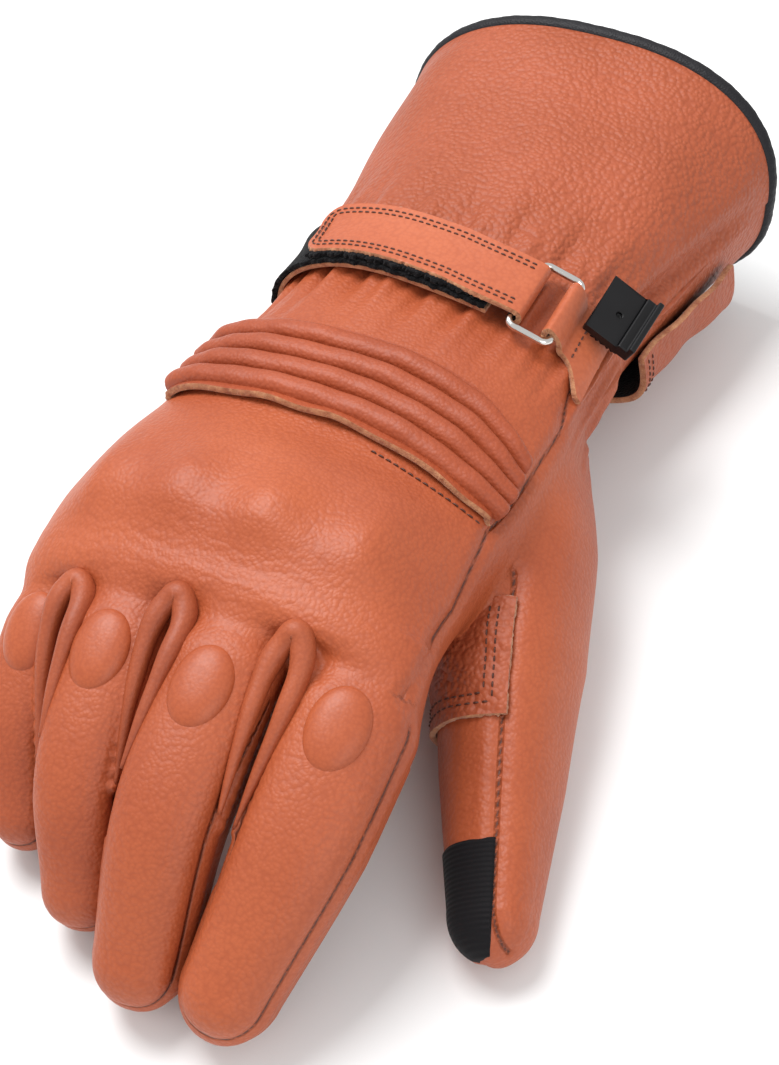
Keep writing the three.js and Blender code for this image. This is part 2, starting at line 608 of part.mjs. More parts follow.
const clipSide = new THREE.Vector3().crossVectors(new THREE.Vector3(0, 1, 0), clipOut).normalize();
const clipAlong = new THREE.Vector3().crossVectors(clipOut, clipSide).normalize();
const clipFrame = new THREE.Matrix4().makeBasis(clipSide, clipAlong, clipOut);
clipFrame.setPosition(clipFoot.clone().addScaledVector(clipOut, 3));
add("pair_clip", clipSolid().applyMatrix4(clipFrame), plastic);
add("clip_loop", new THREE.BoxGeometry(8, 13, 1.2).translate(0, -4, -GAP - 0.6).applyMatrix4(clipFrame), black);

export default glove;
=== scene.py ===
# A leather winter riding glove for the right hand, standing on its fingertips, thumb and cuff.
# Shapes are worked out in millimetres from the glove's hand centre, at the knuckles: +x to the thumb, +y to the
# cuff and +z off the back of the hand. The pieces follow in the order that a glove maker joins them.

import json
import math

import bpy
import numpy as np
from mathutils import Matrix, Vector


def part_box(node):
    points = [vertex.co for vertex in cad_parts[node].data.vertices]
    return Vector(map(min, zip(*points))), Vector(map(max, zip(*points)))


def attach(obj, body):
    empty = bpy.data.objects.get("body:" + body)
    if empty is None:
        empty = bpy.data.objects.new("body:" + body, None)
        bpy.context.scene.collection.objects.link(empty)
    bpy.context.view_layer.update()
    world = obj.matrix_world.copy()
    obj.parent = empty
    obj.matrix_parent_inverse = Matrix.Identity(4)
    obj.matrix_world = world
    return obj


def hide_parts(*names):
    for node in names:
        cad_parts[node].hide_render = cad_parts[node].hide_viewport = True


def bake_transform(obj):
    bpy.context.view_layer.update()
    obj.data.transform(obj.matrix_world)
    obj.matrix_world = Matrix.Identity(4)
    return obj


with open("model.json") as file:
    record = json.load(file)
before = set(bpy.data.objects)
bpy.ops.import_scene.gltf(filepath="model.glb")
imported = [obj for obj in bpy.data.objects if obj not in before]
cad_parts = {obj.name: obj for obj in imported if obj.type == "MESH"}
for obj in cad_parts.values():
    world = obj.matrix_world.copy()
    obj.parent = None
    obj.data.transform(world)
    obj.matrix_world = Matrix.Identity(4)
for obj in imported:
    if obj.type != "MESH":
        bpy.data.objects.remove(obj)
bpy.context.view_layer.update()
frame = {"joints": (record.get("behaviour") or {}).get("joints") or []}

# ---- hand and fingers: the sewn outer skin ----
# One continuous skin of soft cowhide over foam: back, palm, sides, four fingers and the thumb, sewn inside out and
# turned. It is worked out as one solid shape, turned into a fine net of faces, and cut into pieces at the fingers.

# Sections of the hand and cuff: y, centre x and z, half width, height above and depth below, and roll in degrees.
SECTIONS = np.array([
    [-28, -3.5, -1.5, 53, 20, 17, -6],
    [-4, -4.5, -1, 51.5, 24.5, 20, -2],
    [28, 0, -2, 50, 23, 23, 2],
    [58, 2, -3, 47, 23.5, 23, 2],
    [92, 2.5, -5, 45, 24, 24, 1],
    [112, 1.5, -6, 47.5, 26, 26, 0],
    [186, 4.5, -7, 58.5, 36, 38.4, 0],
], float)
SQUARENESS = 2.4  # exponent of the superellipse that every section is drawn with
ROOT_Y, WRIST_Y, CUFF_Y, RIM_Y = -28.0, 92.0, 100.0, 181.0
HEM_RISE, HEM_SLANT = 10.5, -3.0
LITTLE_SEAM = 168.0  # degrees round a section from +x, where the back panel is sewn to the palm on that side

patch_low, patch_high = (np.array(corner) * 1000 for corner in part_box("palm_patch"))
PATCH = {"x": -8.0, "y": 26.0, "z": -28.8}
HAND_CENTRE = (patch_low + patch_high) / 2 - np.array([PATCH["x"], PATCH["y"], PATCH["z"]])


def in_place(points):
    """Millimetres from the hand centre become metres in the frame."""
    return (np.asarray(points, float) + HAND_CENTRE) / 1000.0


def section(y):
    """The section's numbers at each y: a cubic between rows, with each row's slope taken from its neighbours."""
    rows = SECTIONS
    slope = np.gradient(rows[:, 1:], axis=0) / np.gradient(rows[:, 0])[:, None]
    slope[1:-1] = (rows[2:, 1:] - rows[:-2, 1:]) / (rows[2:, 0] - rows[:-2, 0])[:, None]
    i = np.clip(np.searchsorted(rows[:, 0], y) - 1, 0, len(rows) - 2)
    span = rows[i + 1, 0] - rows[i, 0]
    t = ((y - rows[i, 0]) / span)[..., None]
    span = span[..., None]
    value = ((2 * t**3 - 3 * t**2 + 1) * rows[i, 1:] + (t**3 - 2 * t**2 + t) * span * slope[i]
             + (3 * t**2 - 2 * t**3) * rows[i + 1, 1:] + (t**3 - t**2) * span * slope[i + 1])
    return np.moveaxis(value, -1, 0)


def smoothstep(x, low, high):
    """0 below low, 1 above high, and the cubic 3t^2 - 2t^3 between."""
    t = np.clip((np.asarray(x, float) - low) / (high - low), 0, 1)
    return t * t * (3 - 2 * t)


def superellipse(angle):
    """The point of |x|^n + |z|^n = 1 that lies in each direction, in degrees."""
    c, s = np.cos(np.radians(angle)), np.sin(np.radians(angle))
    reach = (np.abs(c) ** SQUARENESS + np.abs(s) ** SQUARENESS) ** (-1 / SQUARENESS)
    return c * reach, s * reach


def on_hand(y, angle, lift=0.0):
    """A point on the hand or cuff: a superellipse of the section at y, grown by lift, rolled and set on the hem."""
    y, angle, lift = np.broadcast_arrays(np.asarray(y, float), np.asarray(angle, float), np.asarray(lift, float))
    cx, cz, half, back, palm, roll = section(y)
    c, s = superellipse(angle)
    x, z = (half + lift) * c, (np.where(s > 0, back, palm) + lift) * s
    roll = np.radians(roll)
    hem = smoothstep(y, CUFF_Y, RIM_Y) * (HEM_RISE * np.maximum(s, 0) ** 1.3 + HEM_SLANT * c)
    return np.stack([cx + x * np.cos(roll) + z * np.sin(roll), y + hem,
                     cz - x * np.sin(roll) + z * np.cos(roll)], -1)


def radial_depth(x, z, half, up, down):
    """How far a point lies outside a superellipse, measured along the line from its centre."""
    rho = (np.abs(x / half) ** SQUARENESS + np.abs(z / np.where(z > 0, up, down)) ** SQUARENESS) ** (1 / SQUARENESS)
    return np.hypot(x, z) * (1 - 1 / np.maximum(rho, 1e-3))


def blended(a, b, width):
    """The smaller of two depths, rounded where they cross, so that two solids join with a fillet."""
    h = np.clip(0.5 + 0.5 * (b - a) / width, 0, 1)
    return b + (a - b) * h - width * h * (1 - h)


class Digit:
    """A finger or the thumb: a superellipse carried along a curve, with a rounded tip."""

    def __init__(self, line, half, deep, up, tip, spacing=2.0):
        p = np.array(line, float)
        p = np.vstack([2 * p[0] - p[1], p, 2 * p[-1] - p[-2]])
        knots = np.concatenate([[0], np.cumsum(np.sqrt(np.linalg.norm(np.diff(p, axis=0), axis=1)))])
        curve = []
        for i in range(1, len(p) - 2):
            gap = knots[i + 1] - knots[i]
            ends = []
            for j in (i, i + 1):
                before, after = knots[j] - knots[j - 1], knots[j + 1] - knots[j]
                ends.append(gap * ((p[j] - p[j - 1]) / before - (p[j + 1] - p[j - 1]) / (before + after)
                                   + (p[j + 1] - p[j]) / after))
            t = np.linspace(0, 1, 60)[:, None]
            curve.append((2 * t**3 - 3 * t**2 + 1) * p[i] + (t**3 - 2 * t**2 + t) * ends[0]
                         + (3 * t**2 - 2 * t**3) * p[i + 1] + (t**3 - t**2) * ends[1])
        curve = np.concatenate(curve)
        run = np.concatenate([[0], np.cumsum(np.linalg.norm(np.diff(curve, axis=0), axis=1))])
        self.length = run[-1]
        count = int(self.length / spacing) + 1
        self.run = np.linspace(0, self.length, count)
        self.middle = np.stack([np.interp(self.run, run, curve[:, k]) for k in range(3)], -1)
        ahead = np.gradient(self.middle, axis=0)
        self.ahead = ahead / np.linalg.norm(ahead, axis=1, keepdims=True)
        side = np.cross(np.array(up, float), self.ahead)
        self.side = side / np.linalg.norm(side, axis=1, keepdims=True)
        self.up = np.cross(self.ahead, self.side)
        knots = np.linspace(0, 1, len(half))
        self.half = np.interp(self.run / self.length, knots, half)
        self.deep = np.interp(self.run / self.length, knots, deep)
        self.tip = tip * half[-1]

    def at(self, table, s):
        """A table's value at length s."""
        if table.ndim == 1:
            return np.interp(s, self.run, table)
        return np.stack([np.interp(s, self.run, table[:, k]) for k in range(3)], -1)

    def frame(self, s):
        """The centreline's point, and the side, up and ahead directions at length s, straight beyond its ends."""
        ahead = self.at(self.ahead, s)
        beyond = s - np.clip(s, 0, self.length)
        return self.at(self.middle, s) + ahead * beyond[..., None], self.at(self.side, s), self.at(self.up, s), ahead

    def local(self, points):
        """Length along the centreline, and offsets to the side and up, of each point."""
        best = np.full(len(points), np.inf)
        near = np.zeros(len(points), int)
        for i, centre in enumerate(self.middle):
            distance = ((points - centre) ** 2).sum(1)
            closer = distance < best
            best[closer], near[closer] = distance[closer], i
        s = self.run[near] + ((points - self.middle[near]) * self.ahead[near]).sum(1)
        middle, side, up, _ = self.frame(s)
        off = points - middle
        return s, (off * side).sum(1), (off * up).sum(1)

    def depth(self, points, start):
        """How far each point lies outside the digit, which begins at length start. A finger narrows into the hand."""
        s, u, v = self.local(points)
        root = 1 - 0.42 * smoothstep(-s, -9, 12) if start < 0 else 1.0
        a, b = self.at(self.half, s) * root, self.at(self.deep, s) * root
        over = np.maximum(s - self.length, 0)
        rho = ((np.abs(u / a) ** SQUARENESS + np.abs(v / b) ** SQUARENESS) ** (2 / SQUARENESS)
               + (over / self.tip) ** 2)
        depth = np.sqrt(u * u + v * v + over * over) * (1 - 1 / np.sqrt(np.maximum(rho, 1e-4)))
        return np.maximum(depth, start - s)

    def on(self, s, angle, lift=0.0):
        """A point of the digit's skin at length s and at an angle in degrees from its side over its back."""
        s, angle, lift = np.broadcast_arrays(np.asarray(s, float), np.asarray(angle, float), np.asarray(lift, float))
        middle, side, up, ahead = self.frame(np.minimum(s, self.length))
        over = np.clip((s - self.length) / self.tip, 0, 1)
        shrink = np.sqrt(1 - over**2)
        c, sn = superellipse(angle)
        return (middle + side * (((self.at(self.half, s) + lift) * shrink * c)[..., None])
                + up * (((self.at(self.deep, s) + lift) * shrink * sn)[..., None])
                + ahead * ((over * (self.tip + lift))[..., None]))


FINGERS = {
    "index": Digit([[37.6, -28.4, 2], [37.4, -61, -11], [32.9, -88.5, -31]],
                   [15.2, 14.2, 11], [14, 13.4, 12], [0.16, 0, 1], 1.15),
    "middle": Digit([[6.5, -28.4, 4.5], [8.3, -67, -10], [10.4, -89, -32.8]],
                    [14, 13, 10.8], [14, 13.2, 12], [0.04, 0, 1], 1.15),
    "ring": Digit([[-21.5, -28.4, 1.5], [-16.9, -63, -13.5], [-11.4, -78.5, -33.2]],
                  [13.2, 11.6, 9.8], [13.4, 12.6, 11.4], [-0.05, 0, 1], 1.15),
    "little": Digit([[-44.4, -28.4, -6], [-41.6, -53, -20], [-35.4, -67, -34.2]],
                    [10.2, 10, 8.6], [11.6, 11.2, 10.4], [-0.16, 0, 1], 1.15),
}
THUMB = Digit([[35, 70, -13], [46, 42, -18], [55, 10, -25], [66, -21, -32], [76, -48, -35.8]],
              [14, 18, 18, 14.6, 9.8], [13, 16, 17, 13.8, 9.6], [0.87, 0.17, 0.47], 1.15)
DIGITS = {**FINGERS, "thumb": THUMB}

# The x, y and height of the guard's swellings.
KNUCKLES = [(29, -4, 3.1), (4, -6, 3.5), (-20, -5, 3.4), (-40, -4, 2.7)]


def guard_shape(x, y):
    """How much of the guard lies under the leather, 0 to 1: a rounded box over the knuckles with soft ends."""
    across = smoothstep(x, -53, -42) * (1 - smoothstep(x, 26, 44))
    return across * smoothstep(y, -22, -10) * (1 - smoothstep(y, 9, 24 - 0.12 * x))


def guard_rise(x, y):
    """The guard's height: a plateau with one rounded swelling over each knuckle."""
    swell = sum(h * np.exp(-(((x - kx) / 9.0) ** 2) - ((y - ky) / 11.0) ** 2) for kx, ky, h in KNUCKLES)
    return guard_shape(x, y) * (2.2 + swell)


# Each crotch's roll: a padded tube from one finger's edge up round the crotch and down the next finger's edge.
CROTCHES = {"index_middle": ("middle", "index"), "middle_ring": ("ring", "middle"),
            "ring_little": ("little", "ring")}
ROLL_REACH = [42.0, 22.0, 7.0, -1.0, 7.0, 22.0, 42.0]  # how far down the fingers each point of the roll lies
ROLL_SPREAD = [-1.6, -3.4, -4.3, 0.0, 4.3, 3.4, 1.6]
ROLL_SIZE = [1.6, 3.0, 3.7, 3.9, 3.7, 3.0, 1.6]


def roll_path(name):
    """The roll's centreline and radius, as points down one finger, round the crotch and down the other."""
    left, right = (FINGERS[finger] for finger in CROTCHES[name])
    middle = (left.middle[0] + left.side[0] * left.half[0] + right.middle[0] - right.side[0] * right.half[0]) / 2
    points = []
    for reach, spread in zip(ROLL_REACH, ROLL_SPREAD):
        s = np.array(reach)
        left_mid, _, left_up, _ = left.frame(s)
        right_mid, _, right_up, _ = right.frame(s)
        centre = (left_mid + left.at(left.side, s) * left.at(left.half, s)
                  + right_mid - right.at(right.side, s) * right.at(right.half, s)) / 2
        up = (left_up + right_up) / 2
        points.append(centre + up * (8.2 - 0.05 * reach) + np.array([spread, 0, 0]))
    points = np.array(points)
    points[:, 1] += 3.0
    t = np.linspace(0, len(points) - 1, 40)
    fine = np.stack([np.interp(t, np.arange(len(points)), points[:, k]) for k in range(3)], -1)
    for _ in range(12):
        fine[1:-1] = (fine[:-2] + 2 * fine[1:-1] + fine[2:]) / 4
    return fine, np.interp(t, np.arange(len(points)), ROLL_SIZE), middle


def tube_depth(points, path, sizes):
    """How far each point lies outside a chain of balls."""
    depth = np.full(len(points), np.inf)
    for centre, size in zip(path, sizes):
        depth = np.minimum(depth, np.sqrt(((points - centre) ** 2).sum(1)) - size)
    return depth


NET = 0.8  # spacing of the net
NET_LOW, NET_HIGH = np.array([-64.0, -112.0, -52.0]), np.array([88.0, 101.0, 40.0])
axes = [np.arange(low, high, NET) for low, high in zip(NET_LOW, NET_HIGH)]


def within(low, high):
    """The part of the net's grid that lies in a box: its slices, and its points as rows."""
    cuts = tuple(slice(*np.searchsorted(axis, (a, b))) for axis, a, b in zip(axes, low, high))
    grid = np.meshgrid(*(axis[cut] for axis, cut in zip(axes, cuts)), indexing="ij")
    return cuts, np.stack([g.ravel() for g in grid], -1), grid[0].shape


depth = np.full([len(axis) for axis in axes], 50.0, np.float64)
cuts, points, shape = within((-64, -44, -40), (60, 102, 40))
cx, cz, half, back, palm, roll = section(np.clip(points[:, 1], ROOT_Y, CUFF_Y + 2))
roll = np.radians(roll)
dx, dz = points[:, 0] - cx, points[:, 2] - cz
x, z = dx * np.cos(roll) - dz * np.sin(roll), dx * np.sin(roll) + dz * np.cos(roll)
hand = radial_depth(x, z, half, back, palm)
hand -= guard_rise(points[:, 0], points[:, 1]) * smoothstep(z, 2, 12)
hand = -blended(-hand, points[:, 1] - (ROOT_Y - 1), 7)
depth[cuts] = hand.reshape(shape)

digits = np.full_like(depth, 50.0)
for name, digit in DIGITS.items():
    reach = max(digit.half.max(), digit.deep.max()) + 5
    low, high = digit.middle.min(0) - reach, digit.middle.max(0) + reach
    low[1] -= digit.tip
    high[1] += 8
    cuts, points, shape = within(low, high)
    own = digit.depth(points, 4.0 if name == "thumb" else -12.0).reshape(shape)
    if name == "thumb":
        depth[cuts] = blended(depth[cuts], own, 5)
    else:
        digits[cuts] = blended(digits[cuts], own, 1.0)
depth = blended(depth, digits, 5)

ROLLS = {name: roll_path(name) for name in CROTCHES}
for path, sizes, _ in ROLLS.values():
    cuts, points, shape = within(path.min(0) - 10, path.max(0) + 10)
    depth[cuts] = blended(depth[cuts], tube_depth(points, path, sizes).reshape(shape), 1.2)
    # The slit between the roll's legs, where the next finger's leather disappears.
    slit = path[17:23].mean(0)
    x = np.abs(points[:, 0] - slit[0] - (points[:, 1] - slit[1]) * (path[-1, 0] + path[0, 0] - 2 * slit[0])
               / 2 / (path[0, 1] - slit[1])) - 0.9
    front = points[:, 1] - (slit[1] - 4.2)
    under = -(points[:, 2] - (slit[2] - 9 + 0.45 * (points[:, 1] - slit[1])))
    cut = np.maximum(np.maximum(x, front), under).reshape(shape)
    depth[cuts] = -blended(-depth[cuts], cut, 1.5)


def net_of(depth):
    """A net of four-sided faces on the zero level: a vertex in each cell that it passes through, at the middle of
    its crossings of the cell's edges, and a face across each grid edge that it crosses."""
    inside = depth < 0
    n = np.array(depth.shape)
    corner = {(i, j, k): inside[i:n[0] - 1 + i, j:n[1] - 1 + j, k:n[2] - 1 + k]
              for i in (0, 1) for j in (0, 1) for k in (0, 1)}
    total = sum(c.astype(np.int8) for c in corner.values())
    cells = np.argwhere((total > 0) & (total < 8))
    number = np.full(n - 1, -1)
    number[tuple(cells.T)] = np.arange(len(cells))
    value = {key: depth[tuple((cells + key).T)] for key in corner}
    middle, crossings = np.zeros((len(cells), 3)), np.zeros(len(cells))
    for a in corner:
        for axis in range(3):
            if a[axis]:
                continue
            b = tuple(1 if k == axis else a[k] for k in range(3))
            cross = (value[a] < 0) != (value[b] < 0)
            share = np.where(cross, value[a] / np.where(cross, value[a] - value[b], 1), 0)
            middle += cross[:, None] * (np.array(a) + share[:, None] * (np.array(b) - np.array(a)))
            crossings += cross
    points = cells + middle / crossings[:, None]
    faces = []
    for axis in range(3):
        one, two = (axis + 1) % 3, (axis + 2) % 3
        low = [slice(None)] * 3
        high = [slice(None)] * 3
        low[axis], high[axis] = slice(0, -1), slice(1, None)
        edge = np.argwhere(inside[tuple(low)] != inside[tuple(high)])
        edge = edge[(edge[:, one] > 0) & (edge[:, two] > 0)
                    & (edge[:, one] < n[one] - 1) & (edge[:, two] < n[two] - 1)]
        ring = []
        for i, j in ((0, 0), (1, 0), (1, 1), (0, 1)):
            cell = edge.copy()
            cell[:, one] -= i
            cell[:, two] -= j
            ring.append(number[tuple(cell.T)])
        ring = np.stack(ring, -1)
        outward = inside[tuple(edge.T)]
        faces.append(np.where(outward[:, None], ring, ring[:, ::-1]))
    return points, np.concatenate(faces)


def smoothed(points, faces, times):
    """Each point moves halfway to the mean of its neighbours and then back out, so that the net evens out without
    shrinking."""
    links = np.concatenate([faces[:, [k, (k + 1) % 4]] for k in range(4)])
    ends = np.bincount(links.ravel(), minlength=len(points))
    for step in (0.5, -0.52) * times:
        total = np.stack([np.bincount(links[:, 0], points[links[:, 1], k], len(points))
                          + np.bincount(links[:, 1], points[links[:, 0], k], len(points)) for k in range(3)], -1)
        points = points + step * (total / np.maximum(ends, 1)[:, None] - points)
    return points


def normals_of(points, faces):
    """Each point's normal: the sum of its faces' normals, which are longer on larger faces."""
    across = np.cross(points[faces[:, 2]] - points[faces[:, 0]], points[faces[:, 3]] - points[faces[:, 1]])
    total = np.stack([sum(np.bincount(faces[:, c], across[:, k], len(points)) for c in range(4))
                      for k in range(3)], -1)
    return total / np.maximum(np.linalg.norm(total, axis=1, keepdims=True), 1e-12)


skin, quads = net_of(depth)
skin = smoothed(skin * NET + NET_LOW, quads, 3)

# Where each seam runs, as the distance to it over the skin, and how far along it each point lies.
owner = np.full(len(skin), -1)
nearest = np.where(skin[:, 1] < -42, 9.0, 1.5)  # past the crotches, every point is a finger's or the thumb's
local = {}
for number, (name, digit) in enumerate(DIGITS.items()):
    near = ((skin > digit.middle.min(0) - 24) & (skin < digit.middle.max(0) + 24)).all(1)
    s, u, v = np.full(len(skin), -99.0), np.zeros(len(skin)), np.zeros(len(skin))
    s[near], u[near], v[near] = digit.local(skin[near])
    out = np.full(len(skin), 99.0)
    out[near] = np.abs(digit.depth(skin[near], -12.0))
    mine = near & (out < nearest) & (s > 0)
    owner[mine], nearest[mine] = number, out[mine]
    local[name] = (s, u, v)

seam = np.full(len(skin), 20.0)
run = skin[:, 1].copy()
cx, cz, half, back, palm, roll = section(np.clip(skin[:, 1], ROOT_Y, CUFF_Y))
roll = np.radians(roll)
dx, dz = skin[:, 0] - cx, skin[:, 2] - cz
round_x, round_z = dx * np.cos(roll) - dz * np.sin(roll), dx * np.sin(roll) + dz * np.cos(roll)
turn = np.degrees(np.arctan2(round_z / np.where(round_z > 0, back, palm), round_x / half)) % 360
side_seam = np.interp(skin[:, 1], [-28, -2, 8, 20, 40, 60, 72, 90, 102], [14, 11, 20, 29, 27, 23, 29, 27, 25])
for at in (side_seam, LITTLE_SEAM):
    lifted = on_hand(np.clip(skin[:, 1], ROOT_Y, CUFF_Y), at)
    seam = np.minimum(seam, np.hypot(skin[:, 0] - lifted[:, 0], skin[:, 2] - lifted[:, 2]))
for number, (name, digit) in enumerate(DIGITS.items()):
    s, u, v = local[name]
    b = digit.at(digit.deep, s)
    upper = np.abs(v - 0.52 * b) if name != "thumb" else np.abs(v - np.where(u < 0, 0.52, -0.3) * b)
    lower = np.abs(v + 0.4 * b)
    own = np.minimum(upper, np.where(s > 12, lower, 20)) if name != "thumb" else upper
    start = smoothstep(s, -2, 6) if name != "thumb" else smoothstep(s, 30, 50)
    here = owner == number
    seam[here] = (seam * (1 - start) + own * start)[here]
    run[here] = s[here]

normal = normals_of(skin, quads)
puff = 0.3 * np.exp(-(((seam - 3.4) / 1.9) ** 2)) - 0.55 * np.exp(-((seam / 1.3) ** 2))
creased = np.exp(-(((skin[:, 1] + 21) / 7) ** 2)) * smoothstep(skin[:, 2], 0, 12)
waver = 1.6 * np.sin(skin[:, 0] * 0.31) + 0.9 * np.sin(skin[:, 0] * 0.83)
puff += 0.06 * creased * np.sin(skin[:, 1] * 2.3 + waver)
wrist = smoothstep(skin[:, 1], 58, 66) * (1 - smoothstep(skin[:, 1], 96, 101))
gather = (np.sin(turn * 0.37 + 1.2 * np.sin(turn * 0.11 + skin[:, 1] * 0.05))
          + 0.5 * np.sin(turn * 0.83 + skin[:, 1] * 0.09 + 1.7))
puff += wrist * 1.05 * gather * (0.25 + 0.75 * smoothstep(skin[:, 1], 66, 84))
skin = skin + normal * puff[:, None]
skin[:, 2] = np.maximum(skin[:, 2], -HAND_CENTRE[2])  # soft leather lies flat where it meets the floor
normal = normals_of(skin, quads)


def linear(code):
    """An sRGB hex colour as linear red, green, blue and alpha."""
    srgb = np.array([int(code[k:k + 2], 16) / 255 for k in (1, 3, 5)])
    return (*np.where(srgb <= 0.04045, srgb / 12.92, ((srgb + 0.055) / 1.055) ** 2.4), 1.0)


def add_node(tree, kind, settings=None, links=None):
    """Adds a node. Settings go on its fields or on its sockets' own values, and links come from other nodes."""
    made = tree.nodes.new(kind)
    for key, value in (settings or {}).items():
        if isinstance(key, str) and hasattr(made, key):
            setattr(made, key, value)
        else:
            made.inputs[key].default_value = value
    for key, output in (links or {}).items():
        tree.links.new(output, made.inputs[key])
    return made


def new_material(name):
    """A material with an empty node tree but for its output and its shader."""
    material = bpy.data.materials.new(name)
    material.use_nodes = True
    tree = material.node_tree
    tree.nodes.clear()
    shader = add_node(tree, "ShaderNodeBsdfPrincipled")
    add_node(tree, "ShaderNodeOutputMaterial", None, {"Surface": shader.outputs["BSDF"]})
    return material, tree, shader


LEATHER_LIGHT, LEATHER_DARK, SEAM_COLOUR = "#ab5531", "#9c4929", "#34130a"
METRE = 1000.0  # millimetres


def leather(name, pebble_mm, pebble_depth_mm, wrinkle_depth_mm, roughness=0.46, light=LEATHER_LIGHT,
            dark=LEATHER_DARK, seams=False):
    """Aniline-dyed cowhide with a pebbled grain: rounded cells of the given size with painted shade in their
    valleys, slow changes of tone, fine wrinkles, and a waxy gloss that is broken up by the grain."""
    material, tree, shader = new_material(name)
    place = add_node(tree, "ShaderNodeTexCoord").outputs["Object"]
    warp = add_node(tree, "ShaderNodeTexNoise", {"Scale": METRE / 6, "Detail": 2.0}, {"Vector": place})
    bent = add_node(tree, "ShaderNodeVectorMath", {"operation": "MULTIPLY_ADD", 1: (0.0012,) * 3},
                    {0: warp.outputs["Color"], 2: place})
    pebble = add_node(tree, "ShaderNodeTexVoronoi", {"feature": "SMOOTH_F1", "Scale": METRE / pebble_mm,
                                                     "Smoothness": 0.35}, {"Vector": bent.outputs[0]})
    fine = add_node(tree, "ShaderNodeTexNoise", {"Scale": METRE / 0.9, "Detail": 4.0, "Roughness": 0.6},
                    {"Vector": place})
    crease = add_node(tree, "ShaderNodeTexNoise", {"Scale": METRE / 5, "Detail": 5.0, "Roughness": 0.55,
                                                   "Distortion": 1.2}, {"Vector": place})
    fold = add_node(tree, "ShaderNodeMath", {"operation": "ABSOLUTE"}, {0: add_node(
        tree, "ShaderNodeMath", {"operation": "SUBTRACT", 1: 0.5}, {0: crease.outputs["Fac"]}).outputs[0]})
    tone = add_node(tree, "ShaderNodeTexNoise", {"Scale": METRE / 38, "Detail": 3.0}, {"Vector": place})
    spread = add_node(tree, "ShaderNodeMapRange", {"From Min": 0.3, "From Max": 0.7},
                      {"Value": tone.outputs["Fac"]})
    colour = add_node(tree, "ShaderNodeMix", {"data_type": "RGBA", 6: linear(dark), 7: linear(light)},
                      {0: spread.outputs["Result"]})
    # Painted shade: the colour is multiplied darker, towards #9a4a30, in the pebble valleys where the grain's bump
    # sinks.
    valley_shade = add_node(tree, "ShaderNodeMapRange",
                      {"From Min": 0.35, "From Max": 0.75, "To Min": 0.0, "To Max": 0.14},
                      {"Value": pebble.outputs["Distance"]})
    colour = add_node(tree, "ShaderNodeMix", {"data_type": "RGBA", "blend_type": "MULTIPLY",
                                              7: linear("#9a4a30")},
                      {0: valley_shade.outputs["Result"], 6: colour.outputs[2]})
    gloss = add_node(tree, "ShaderNodeMapRange", {"To Min": roughness - 0.06, "To Max": roughness + 0.12},
                     {"Value": fine.outputs["Fac"]})
    bump = add_node(tree, "ShaderNodeBump", {"Strength": 1.0, "Distance": pebble_depth_mm / METRE, "invert": True},
                    {"Height": pebble.outputs["Distance"]})
    bump = add_node(tree, "ShaderNodeBump", {"Strength": 1.0, "Distance": 0.05 / METRE},
                    {"Height": fine.outputs["Fac"], "Normal": bump.outputs["Normal"]})
    bump = add_node(tree, "ShaderNodeBump", {"Strength": 1.0, "Distance": wrinkle_depth_mm / METRE},
                    {"Height": fold.outputs[0], "Normal": bump.outputs["Normal"]})
    if seams:
        away = add_node(tree, "ShaderNodeAttribute", {"attribute_name": "seam"})
        along = add_node(tree, "ShaderNodeAttribute", {"attribute_name": "run"})
        ripple = add_node(tree, "ShaderNodeMath", {"operation": "SINE"}, {0: add_node(
            tree, "ShaderNodeMath", {"operation": "MULTIPLY", 1: 2.1}, {0: along.outputs["Fac"]}).outputs[0]})
        near = add_node(tree, "ShaderNodeMapRange",
                        {"From Min": 4.5, "From Max": 0.8, "interpolation_type": "SMOOTHSTEP"},
                        {"Value": away.outputs["Fac"]})
        pucker = add_node(tree, "ShaderNodeMath", {"operation": "MULTIPLY"},
                          {0: ripple.outputs[0], 1: near.outputs["Result"]})
        bump = add_node(tree, "ShaderNodeBump", {"Strength": 0.6, "Distance": 0.06 / METRE},
                        {"Height": pucker.outputs[0], "Normal": bump.outputs["Normal"]})
        groove = add_node(tree, "ShaderNodeMapRange", {"From Min": 0.15, "From Max": 0.75,
                                                       "interpolation_type": "SMOOTHSTEP"},
                          {"Value": away.outputs["Fac"]})
        bump = add_node(tree, "ShaderNodeBump", {"Strength": 1.0, "Distance": 0.5 / METRE},
                        {"Height": groove.outputs["Result"], "Normal": bump.outputs["Normal"]})
        dark_line = add_node(tree, "ShaderNodeMapRange", {"From Min": 0.5, "From Max": 0.1, "To Max": 0.9,
                                                          "interpolation_type": "SMOOTHSTEP"},
                             {"Value": away.outputs["Fac"]})
        colour = add_node(tree, "ShaderNodeMix", {"data_type": "RGBA", 7: linear(SEAM_COLOUR)},
                          {0: dark_line.outputs["Result"], 6: colour.outputs[2]})
    tree.links.new(colour.outputs[2], shader.inputs["Base Color"])
    tree.links.new(gloss.outputs["Result"], shader.inputs["Roughness"])
    tree.links.new(bump.outputs["Normal"], shader.inputs["Normal"])
    shader.inputs["Specular IOR Level"].default_value = 0.36
    shader.inputs["Coat Weight"].default_value = 0.04
    shader.inputs["Coat Roughness"].default_value = 0.38
    return material


